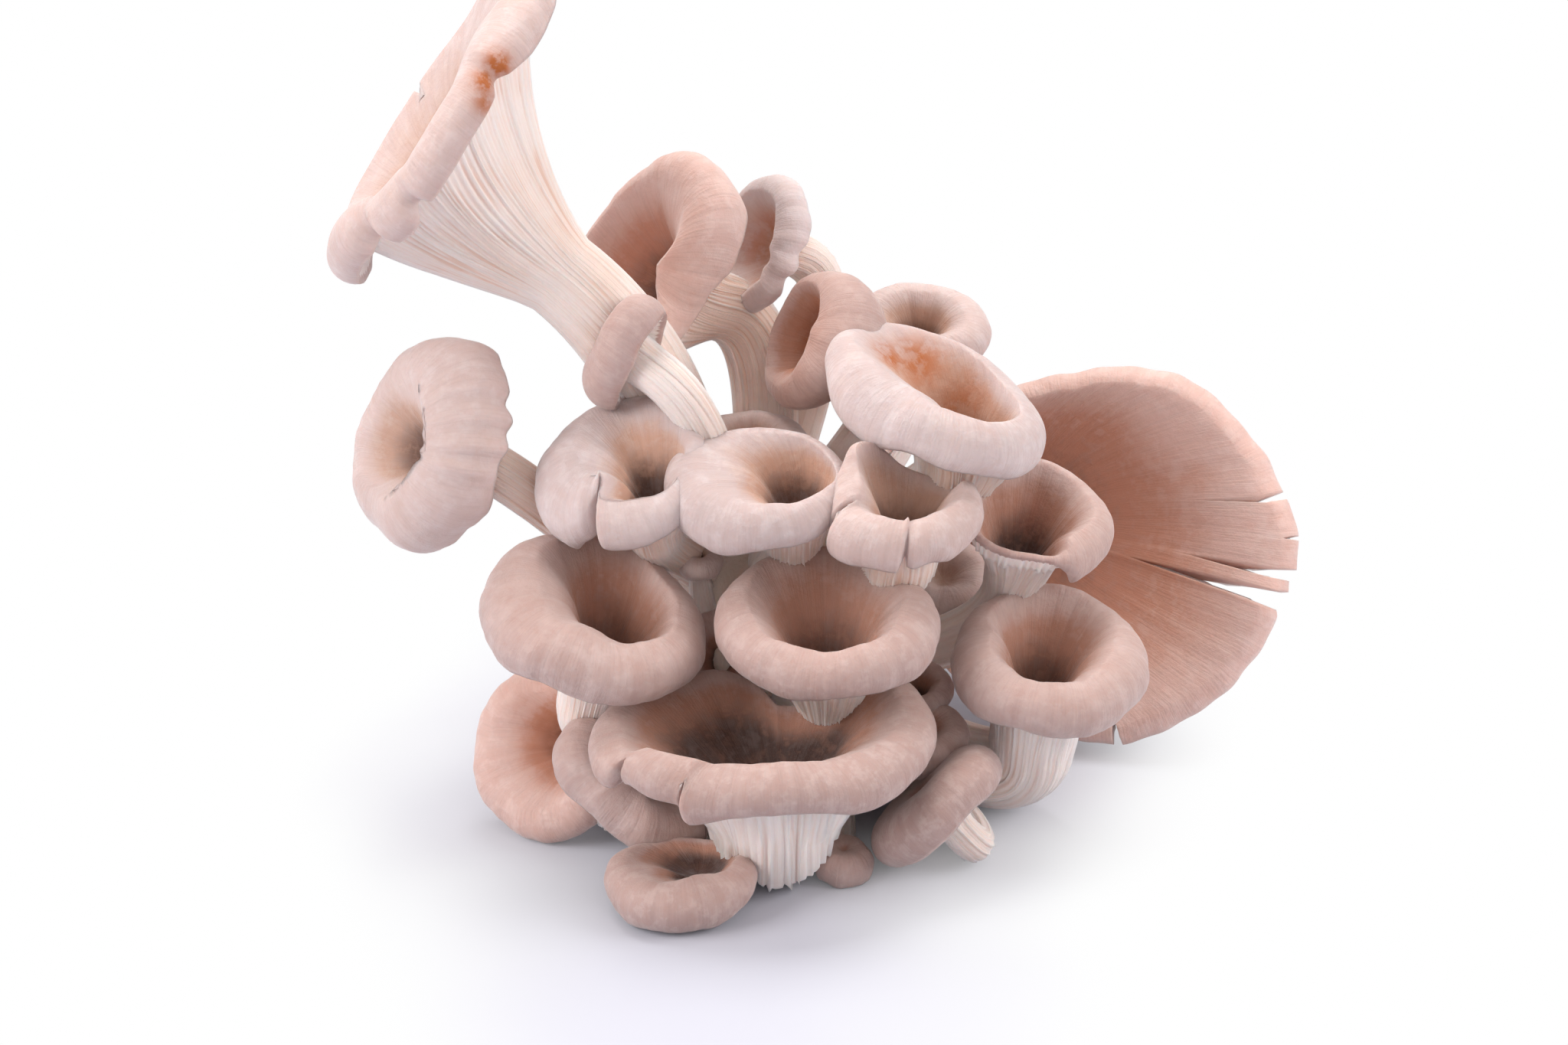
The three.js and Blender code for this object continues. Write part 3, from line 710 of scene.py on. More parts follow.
class Nodes:
    """Adds and joins shader nodes in one tree."""

    def __init__(self, tree: bpy.types.NodeTree) -> None:
        """Clears the tree that the nodes go in."""
        self.tree = tree
        tree.nodes.clear()

    def add(self, kind: str, inputs: dict | None = None, **settings: object) -> bpy.types.Node:
        """Adds a node.

        Args:
            kind: The node's type, without the ShaderNode that starts its full name.
            inputs: Sockets, by name or number, with the number, colour or socket that each takes.
            settings: The node's own settings.

        Returns:
            The node.
        """
        node = self.tree.nodes.new(kind if kind.startswith("Node") else "ShaderNode" + kind)
        for key, value in settings.items():
            setattr(node, key, value)
        for key, value in (inputs or {}).items():
            if isinstance(value, Socket):
                self.tree.links.new(value, node.inputs[key])
            else:
                node.inputs[key].default_value = value
        return node

    def attribute(self, name: str, vector: bool = False) -> Socket:
        """Reads one of the piece's named values."""
        node = self.add("Attribute", attribute_name=name)
        return node.outputs["Vector" if vector else "Fac"]

    def math(self, operation: str, first: object, second: object, clamp: bool = False) -> Socket:
        """Does one sum on two numbers or sockets."""
        node = self.add("Math", {0: first, 1: second}, operation=operation, use_clamp=clamp)
        return node.outputs[0]

    def times(self, first: object, second: object, clamp: bool = False) -> Socket:
        """Multiplies two numbers or sockets."""
        return self.math("MULTIPLY", first, second, clamp)

    def mix(self, share: object, first: object, second: object, blend: str = "MIX") -> Socket:
        """Mixes two colours."""
        node = self.add("Mix", {0: share, 6: first, 7: second}, data_type="RGBA", blend_type=blend)
        return node.outputs[2]

    def ease(self, value: object, low: float, high: float, to: Pair = (0.0, 1.0)) -> Socket:
        """Eases a value from one range into another."""
        inputs = {"Value": value, "From Min": low, "From Max": high, "To Min": to[0], "To Max": to[1]}
        return self.add("MapRange", inputs, interpolation_type="SMOOTHSTEP").outputs["Result"]

    def group(self, tree: bpy.types.NodeTree, inputs: dict) -> bpy.types.Node:
        """Places a shared effect with its own values."""
        return self.add("Group", inputs, node_tree=tree)

    def seen(self) -> Socket:
        """1 for rays that come from the camera, by glass and mirrors too, and 0 for light."""
        path = self.add("LightPath").outputs
        seen = self.math("MAXIMUM", path["Is Camera Ray"], path["Is Glossy Ray"])
        return self.math("MAXIMUM", seen, path["Is Transmission Ray"])


def shared_effect(name: str, inputs: dict[str, object], outputs: tuple[str, ...]) -> tuple[Nodes, dict, dict]:
    """Starts a node group that several materials use.

    Args:
        name: The group's name.
        inputs: Input names with their defaults: a number, or a vector of three.
        outputs: Names of the numbers that it puts out.

    Returns:
        The nodes, the group's input sockets and its output sockets, by name.
    """
    tree = bpy.data.node_groups.new(name, "ShaderNodeTree")
    for key, value in inputs.items():
        kind = "NodeSocketFloat" if isinstance(value, float) else "NodeSocketVector"
        socket = tree.interface.new_socket(name=key, in_out="INPUT", socket_type=kind)
        socket.default_value = value
    for key in outputs:
        tree.interface.new_socket(name=key, in_out="OUTPUT", socket_type="NodeSocketFloat")
    nodes = Nodes(tree)
    start = nodes.add("NodeGroupInput")
    end = nodes.add("NodeGroupOutput")
    return nodes, {s.name: s for s in start.outputs if s.name}, {s.name: s for s in end.inputs if s.name}


def fibril_effect() -> bpy.types.NodeTree:
    """Builds the grain of fine threads that run from the funnel out over the brim, and up a stem."""
    nodes, given, out = shared_effect(
        "Fibrils", {"Along": (0.0, 0.0, 0.0), "Fineness": 1.0, "Stretch": 12.0}, ("Threads", "Streaks")
    )
    for key, fineness, detail in (("Threads", 1.0, 3.0), ("Streaks", 0.22, 2.0)):
        scale = nodes.times(given["Fineness"], fineness)
        slow = nodes.math("DIVIDE", scale, given["Stretch"])
        stretch = nodes.add("CombineXYZ", {0: scale, 1: scale, 2: slow})
        where = nodes.add("VectorMath", {0: given["Along"], 1: stretch.outputs[0]}, operation="MULTIPLY")
        inputs = {"Vector": where.outputs[0], "Scale": 1.0, "Detail": detail, "Roughness": 0.55}
        noise = nodes.add("TexNoise", inputs)
        nodes.tree.links.new(nodes.ease(noise.outputs["Fac"], 0.3, 0.7), out[key])
    return nodes.tree


def mottle_effect() -> bpy.types.NodeTree:
    """Builds the soft patches, the finer felt and the powder that lie over skin and flesh."""
    nodes, given, out = shared_effect(
        "Mottle",
        {"Place": (0.0, 0.0, 0.0), "Patches Scale": 60.0, "Felt Scale": 300.0, "Powder Scale": 1500.0},
        ("Patches", "Felt", "Powder"),
    )
    grains = (
        ("Patches", 3.0, 0.5, 0.3, 0.7),
        ("Felt", 5.0, 0.62, 0.3, 0.7),
        ("Powder", 2.0, 0.7, 0.35, 0.68),
    )
    for key, detail, rough, low, high in grains:
        inputs = {"Vector": given["Place"], "Scale": given[key + " Scale"]}
        noise = nodes.add("TexNoise", {**inputs, "Detail": detail, "Roughness": rough})
        nodes.tree.links.new(nodes.ease(noise.outputs["Fac"], low, high), out[key])
    return nodes.tree


@dataclass(frozen=True)
class SkinFinish:
    """The colours of a cap's skin, from under the brim over its crest to the funnel's bottom. Side and crest
    differ by painted light, and the dark slope and pit are partly the cap's brown, partly painted shade in
    the funnel.
    """

    side: str
    crest: str
    slope: str
    pit: str
    bloom: str
    tan: str = "7d5546"
    stain: str = "a9602f"


@dataclass(frozen=True)
class FleshFinish:
    """The colours of the white flesh: stem, gill edges, the hollows between gills, and its warm patches. The
    hollows' darker peach is partly the flesh's own tint and partly painted shade in the grooves.
    """

    stem: str = "f1ebe8"
    gill: str = "f5f0ed"
    hollow: str = "d9b09a"
    warm: str = "ecc7b2"


@dataclass(frozen=True)
class MushroomFinish:
    """One material for a whole mushroom, which reads the piece's named values."""

    name: str
    skin: SkinFinish
    flesh: FleshFinish = FleshFinish()

    def material(self, fibrils: bpy.types.NodeTree, mottle: bpy.types.NodeTree) -> bpy.types.Material:
        """Builds the material.

        Args:
            fibrils: The shared grain of threads.
            mottle: The shared patches and powder.

        Returns:
            The material.
        """
        material = bpy.data.materials.new(self.name)
        material.use_nodes = True
        nodes = Nodes(material.node_tree)
        place = nodes.add("TexCoord").outputs["Object"]
        along = nodes.attribute("fibre", vector=True)
        grain = nodes.group(fibrils, {"Along": along, "Fineness": 1.6, "Stretch": 14.0})
        scales = {"Patches Scale": 55.0, "Felt Scale": 330.0, "Powder Scale": 1500.0}
        patch = nodes.group(mottle, {"Place": place, **scales})
        threads, streaks = grain.outputs["Threads"], grain.outputs["Streaks"]
        patches, felt, powder = (patch.outputs[key] for key in ("Patches", "Felt", "Powder"))
        skin = self.skin_colour(nodes, threads, streaks, patches, felt)
        flesh = self.flesh_colour(nodes, threads, streaks, patches)
        cap = nodes.attribute("cap")
        frayed = nodes.math("ADD", cap, nodes.ease(threads, 0.0, 1.0, (-0.15, 0.15)), clamp=True)
        colour = nodes.mix(nodes.ease(frayed, 0.35, 0.65), flesh, skin)
        relief = nodes.math("ADD", nodes.times(threads, 0.5), nodes.times(powder, 0.2))
        relief = nodes.math("ADD", relief, nodes.times(felt, 0.9))
        bump = nodes.add("Bump", {"Height": relief, "Strength": 0.4, "Distance": 0.0003})
        rough = nodes.ease(threads, 0.0, 1.0, (0.52, 0.7))
        surface = nodes.add(
            "BsdfPrincipled",
            {
                "Base Color": colour,
                "Roughness": rough,
                "Normal": bump.outputs[0],
                "Subsurface Weight": 0.28,
                "Subsurface Radius": (1.0, 0.5, 0.35),
                "Subsurface Scale": 0.0038,
                "Specular IOR Level": 0.35,
                "Sheen Weight": 0.25,
                "Sheen Roughness": 0.4,
            },
        )
        nodes.add("OutputMaterial", {"Surface": surface.outputs[0]})
        return material

    def skin_colour(
        self, nodes: Nodes, threads: Socket, streaks: Socket, patches: Socket, felt: Socket
    ) -> Socket:
        """Colours the cap's skin.

        Args:
            nodes: The material's nodes.
            threads: Fine grain, 0 to 1.
            streaks: Broad grain, 0 to 1.
            patches: Soft patches, 0 to 1.
            felt: Fine mottling, 0 to 1.

        Returns:
            The colour's socket.
        """
        skin = self.skin
        turn, hollow, stain = (nodes.attribute(name) for name in ("turn", "hollow", "stain"))
        shifted = nodes.math("ADD", hollow, nodes.ease(patches, 0, 1, (-0.05, 0.05)))
        shifted = nodes.math("ADD", shifted, nodes.ease(felt, 0, 1, (-0.05, 0.05)))
        # From side to crest over the roll, the colours differ by painted light: the lighter crest of the
        # brown and rosy tones is a painted highlight from the top light, and the darker crest of the pale and
        # white tones is painted shade against the overhead lamp.
        colour = nodes.mix(nodes.ease(turn, 0.3, 1.0), hexa(skin.side), hexa(skin.crest))
        colour = nodes.mix(nodes.attribute("tan"), colour, hexa(skin.tan))
        # Slope and pit darken the funnel towards its bottom: partly the cap's brown, partly painted shade in
        # the deep funnel.
        colour = nodes.mix(nodes.ease(shifted, 0.0, 0.3), colour, hexa(skin.slope))
        colour = nodes.mix(nodes.ease(shifted, 0.35, 1.0), colour, hexa(skin.pit))
        open_skin = nodes.ease(hollow, 0.0, 0.5, (1.0, 0.25))
        light = nodes.times(nodes.ease(streaks, 0.2, 1.0, (0.0, 0.1)), open_skin)
        colour = nodes.mix(light, colour, hexa(skin.bloom))
        bloom = nodes.times(nodes.ease(felt, 0.45, 1.0, (0.0, 0.22)), open_skin)
        colour = nodes.mix(bloom, colour, hexa(skin.bloom))
        flecks = nodes.ease(felt, 0.5, 0.0, (0.0, 0.2))
        flecks = nodes.times(flecks, nodes.ease(patches, 0.2, 0.9, (0.4, 1.0)))
        colour = nodes.mix(flecks, colour, hexa(skin.slope))
        colour = nodes.mix(nodes.ease(threads, 0.0, 0.6, (0.06, 0.0)), colour, hexa(skin.pit))
        spread = nodes.times(stain, nodes.ease(felt, 0.1, 0.8, (0.5, 1.0)))
        return nodes.mix(nodes.times(spread, 0.8, clamp=True), colour, hexa(skin.stain))

    def flesh_colour(
        self, nodes: Nodes, threads: Socket, streaks: Socket, patches: Socket
    ) -> Socket:
        """Colours the stem and the gills.

        Args:
            nodes: The material's nodes.
            threads: Fine grain, 0 to 1.
            streaks: Broad grain, 0 to 1.
            patches: Soft patches, 0 to 1.

        Returns:
            The colour's socket.
        """
        flesh = self.flesh
        gill, ridge, stain, warm = (nodes.attribute(name) for name in ("gill", "ridge", "stain", "warm"))
        tint = nodes.times(warm, nodes.ease(patches, 0.0, 1.0, (0.5, 1.1)), clamp=True)
        stem = nodes.mix(tint, hexa(flesh.stem), hexa(flesh.warm))
        grazing = nodes.add("LayerWeight", {"Blend": 0.5}).outputs["Facing"]
        inner = nodes.ease(grazing, 0.35, 0.95, (1.0, 0.15))
        # The darker peach in the grooves between gills, less at grazing angles: partly the flesh's own tint,
        # partly painted shade in the grooves.
        streak = nodes.ease(streaks, 0.5, 0.95, (0.1, 0.9))
        streak = nodes.times(streak, nodes.ease(warm, 0.0, 1.0, (0.4, 1.1)))
        streak = nodes.times(streak, nodes.ease(patches, 0.2, 0.8, (0.35, 1.1)))
        streak = nodes.times(streak, inner)
        groove = nodes.times(nodes.ease(ridge, 0.5, 0.0), nodes.times(gill, streak))
        # Whiter towards the outlines, where the surface turns away: a painted glow, as of light from behind.
        pale = nodes.times(nodes.ease(grazing, 0.45, 1.0), 0.7)
        stem = nodes.mix(pale, stem, hexa(flesh.gill))
        colour = nodes.mix(groove, stem, hexa(flesh.hollow))
        colour = nodes.mix(nodes.times(ridge, 0.5, clamp=True), colour, hexa(flesh.gill))
        colour = nodes.mix(nodes.ease(threads, 0.0, 0.6, (0.07, 0.0)), colour, hexa(flesh.hollow))
        return nodes.mix(nodes.times(stain, 0.8, clamp=True), colour, hexa(self.skin.stain))


# The crest is a painted highlight in the brown and rosy tones and painted shade in the pale and white ones;
# slope and pit are partly brown pigment, partly painted shade in the funnel.
SKINS: dict[Tone, SkinFinish] = {
    Tone.BROWN: SkinFinish(side="b59e99", crest="bda39c", slope="a87b68", pit="432a21", bloom="d9cac7"),
    Tone.ROSY: SkinFinish(side="cfb3ab", crest="d6b5ab", slope="c28c75", pit="4a2e22", bloom="ead9d3"),
    Tone.PALE: SkinFinish(side="d0bcb8", crest="cab5b0", slope="b99684", pit="5f4033", bloom="e0d8d7"),
    Tone.WHITE: SkinFinish(side="d4c6c5", crest="c5b4b2", slope="bb9480", pit="573a2e", bloom="e2dddd"),
}
FINISHES: dict[Tone, MushroomFinish] = {
    **{tone: MushroomFinish(tone.value[0] + "_mushroom", skin) for tone, skin in SKINS.items()},
    Tone.FOOT: MushroomFinish(
        "foot_flesh",
        SkinFinish(side="d9c3b2", crest="e6d8cb", slope="c7a58d", pit="8f6a52", bloom="f2e9df"),
        FleshFinish(stem="eee1d7", gill="f1e7de", hollow="d8b9a3", warm="e3c6b0"),
    ),
}


# The foot


@dataclass(frozen=True)
class FusedFoot:
    """The lump that every stem grows from, flat where it was cut from its block."""

    name: str = "fused_foot"
    half: Pair = (33.0, 29.0)
    tall: float = 56.0
    middle: Pair = (0.0, 8.0)
    outline: tuple[Pair, ...] = (
        *((0.94, 0.0), (1.0, 0.08), (0.98, 0.3)),
        *((0.85, 0.6), (0.62, 0.85), (0.3, 0.98)),
    )
    rings: int = 60
    columns: int = 160
    seed: int = 7

    def build(self) -> bpy.types.Object:
        """Builds the foot's mesh, with its named values as attributes.

        Returns:
            The piece, at the origin, with its place in its mesh.
        """
        rng = np.random.default_rng(self.seed)
        angle = np.linspace(0, 360, self.columns, endpoint=False)
        turn = np.radians(angle)
        lump = 1 + 0.06 * np.sin(3 * turn + 1) + 0.04 * np.sin(5 * turn)
        outs = np.array([0.0] + [o for o, _ in self.outline] + [0.0])
        ups = np.array([0.0] + [u for _, u in self.outline] + [1.0])
        at = np.linspace(0, len(outs) - 1, self.rings)
        out = np.interp(at, np.arange(len(outs)), outs)
        up = np.interp(at, np.arange(len(ups)), ups)
        folds = [ripple(angle, rng, (7, 11, 16, 23)) for _ in range(4)]
        points = np.zeros((self.rings, self.columns, 3))
        crease = np.zeros((self.rings, self.columns))
        for i in range(self.rings):
            swing = 7 * up[i]
            wave = folds[0] * math.cos(swing) + folds[1] * math.sin(swing)
            wave += 0.5 * (folds[2] * math.cos(3 * swing) + folds[3] * math.sin(3 * swing))
            crease[i] = wave
            size = out[i] * lump * (1 + 0.03 * wave * min(1.0, 8 * up[i]))
            points[i, :, 0] = self.middle[0] + self.half[0] * size * np.cos(turn)
            points[i, :, 1] = self.middle[1] + self.half[1] * size * np.sin(turn)
            points[i, :, 2] = up[i] * self.tall * (1 + 0.02 * wave * out[i] * (up[i] > 0))
        even = {"cap": 0.0, "turn": 0.0, "hollow": 0.0, "gill": 0.35, "stain": 0.0, "warm": 0.4, "tan": 0.0}
        values = {key: np.full(points.shape[:2], value) for key, value in even.items()}
        values["ridge"] = np.clip(0.5 + 0.4 * crease, 0, 1)
        values["fibre"] = points.copy()
        return wrapped(self.name + "_flesh", points, values)


# The studio


@dataclass(frozen=True)
class Shade:
    """A pool of the floor in a darker, bluish matt colour, a painted shadow added to the shading it receives;
    past it the floor is plain white.
    """

    middle: Pair
    reach: Pair
    squash: float = 1.0

    def fade(self, nodes: Nodes, place: Socket) -> Socket:
        """Tells how far the floor has faded to white.

        Args:
            nodes: The floor material's nodes.
            place: The place on the floor.

        Returns:
            The socket of a number from 0, in the shade, to 1.
        """
        x, y = self.middle
        near = nodes.add("VectorMath", {0: place, 1: (x * MM, y * MM, 0.0)}, operation="SUBTRACT")
        even = nodes.add("VectorMath", {0: near.outputs[0], 1: (1.0, self.squash, 1.0)}, operation="MULTIPLY")
        away = nodes.add("VectorMath", {0: even.outputs[0]}, operation="LENGTH")
        soft = nodes.add("TexNoise", {"Vector": place, "Scale": 9.0, "Detail": 2.0})
        drift = nodes.ease(soft.outputs["Fac"], 0.2, 0.8, (-0.015, 0.015))
        reach = nodes.math("ADD", away.outputs["Value"], drift)
        return nodes.ease(reach, self.reach[0] * MM, self.reach[1] * MM)


@dataclass(frozen=True)
class Studio:
    """The pale floor with its painted shadow pools, the soft lights and the camera."""

    aim: Point = (2.0, 0.0, 55.0)
    distance: float = 800.0
    elevation: float = 25.0
    lens: float = 90.0
    floor_size: float = 6000.0
    shades: tuple[Shade, ...] = (
        Shade(middle=(-8.0, -65.0), reach=(15.0, 78.0), squash=0.6),
        Shade(middle=(0.0, 5.0), reach=(42.0, 100.0)),
    )

    def camera(self) -> None:
        """Places the camera."""
        lens = bpy.data.cameras.new("camera")
        lens.lens = self.lens
        lens.sensor_width = 36.0
        lens.clip_start = 0.01
        lens.dof.use_dof = False
        camera = placed("camera", lens)
        rise = math.radians(self.elevation)
        aim = Vector(self.aim)
        back = Vector((0.0, -math.cos(rise), math.sin(rise)))
        camera.location = (aim + back * self.distance) * MM
        camera.rotation_euler = (-back).to_track_quat("-Z", "Y").to_euler()
        bpy.context.scene.camera = camera

    def world(self) -> None:
        """Lights everything softly from all round, and shows plain white behind it."""
        world = bpy.data.worlds.new("studio")
        world.use_nodes = True
        bpy.context.scene.world = world
        nodes = Nodes(world.node_tree)
        fill = nodes.add("Background", {"Color": hexa("fff5f1"), "Strength": 0.49})
        white = nodes.add("Background", {"Color": WHITE, "Strength": 1.0})
        mixed = nodes.add("MixShader", {0: nodes.seen(), 1: fill.outputs[0], 2: white.outputs[0]})
        nodes.add("OutputWorld", {"Surface": mixed.outputs[0]})

    def lamp(self, name: str, place: Point, size: float, power: float, colour: str) -> None:
        """Adds a square soft light that points at the cluster.

        Args:
            name: The lamp's name.
            place: Where it hangs.
            size: Its side.
            power: Its power in watts.
            colour: Its web colour.
        """
        light = bpy.data.lights.new(name, "AREA")
        light.size = size * MM
        light.energy = power
        light.color = hexa(colour)[:3]
        lamp = placed(name, light)
        lamp.location = Vector(place) * MM
        lamp.rotation_euler = (Vector(self.aim) - Vector(place)).to_track_quat("-Z", "Y").to_euler()

    def floor(self) -> None:
        """Builds the floor: a darker bluish matt near the cluster, a painted shadow, which fades to white
        away from it.
        """
        sheet = bmesh.new()
        bmesh.ops.create_grid(sheet, x_segments=8, y_segments=8, size=self.floor_size / 2 * MM)
        mesh = bpy.data.meshes.new("floor")
        sheet.to_mesh(mesh)
        sheet.free()
        floor = placed("floor", mesh)
        material = bpy.data.materials.new("floor")
        material.use_nodes = True
        nodes = Nodes(material.node_tree)
        place = nodes.add("TexCoord").outputs["Object"]
        first, second = (shade.fade(nodes, place) for shade in self.shades)
        # A grey-blue matt colour in the pools: painted shadow, on top of the real shading the floor receives.
        painted_shadow_matt = nodes.add("BsdfDiffuse", {"Color": hexa("c6c9d4")})
        white = nodes.add("Emission", {"Color": WHITE, "Strength": 1.0})
        share = nodes.times(nodes.times(first, second), nodes.seen())
        mixed = nodes.add("MixShader", {0: share, 1: painted_shadow_matt.outputs[0], 2: white.outputs[0]})
        nodes.add("OutputMaterial", {"Surface": mixed.outputs[0]})
        mesh.materials.append(material)

    def set_up(self) -> None:
        """Sets up the camera, world, lamps and floor."""
        bpy.context.scene.view_settings.view_transform = "Standard"
        self.camera()
        self.world()
        self.lamp("overhead", (-110, 330, 880), 560, 6.9, "fffcfa")
        self.lamp("left", (-800, -350, 520), 560, 6.8, "fffaf9")
        self.lamp("right", (860, -150, 460), 560, 4.9, "fffaf9")
        self.lamp("front", (150, -900, 600), 700, 1.1, "fffaf9")
        self.floor()


# The mushrooms


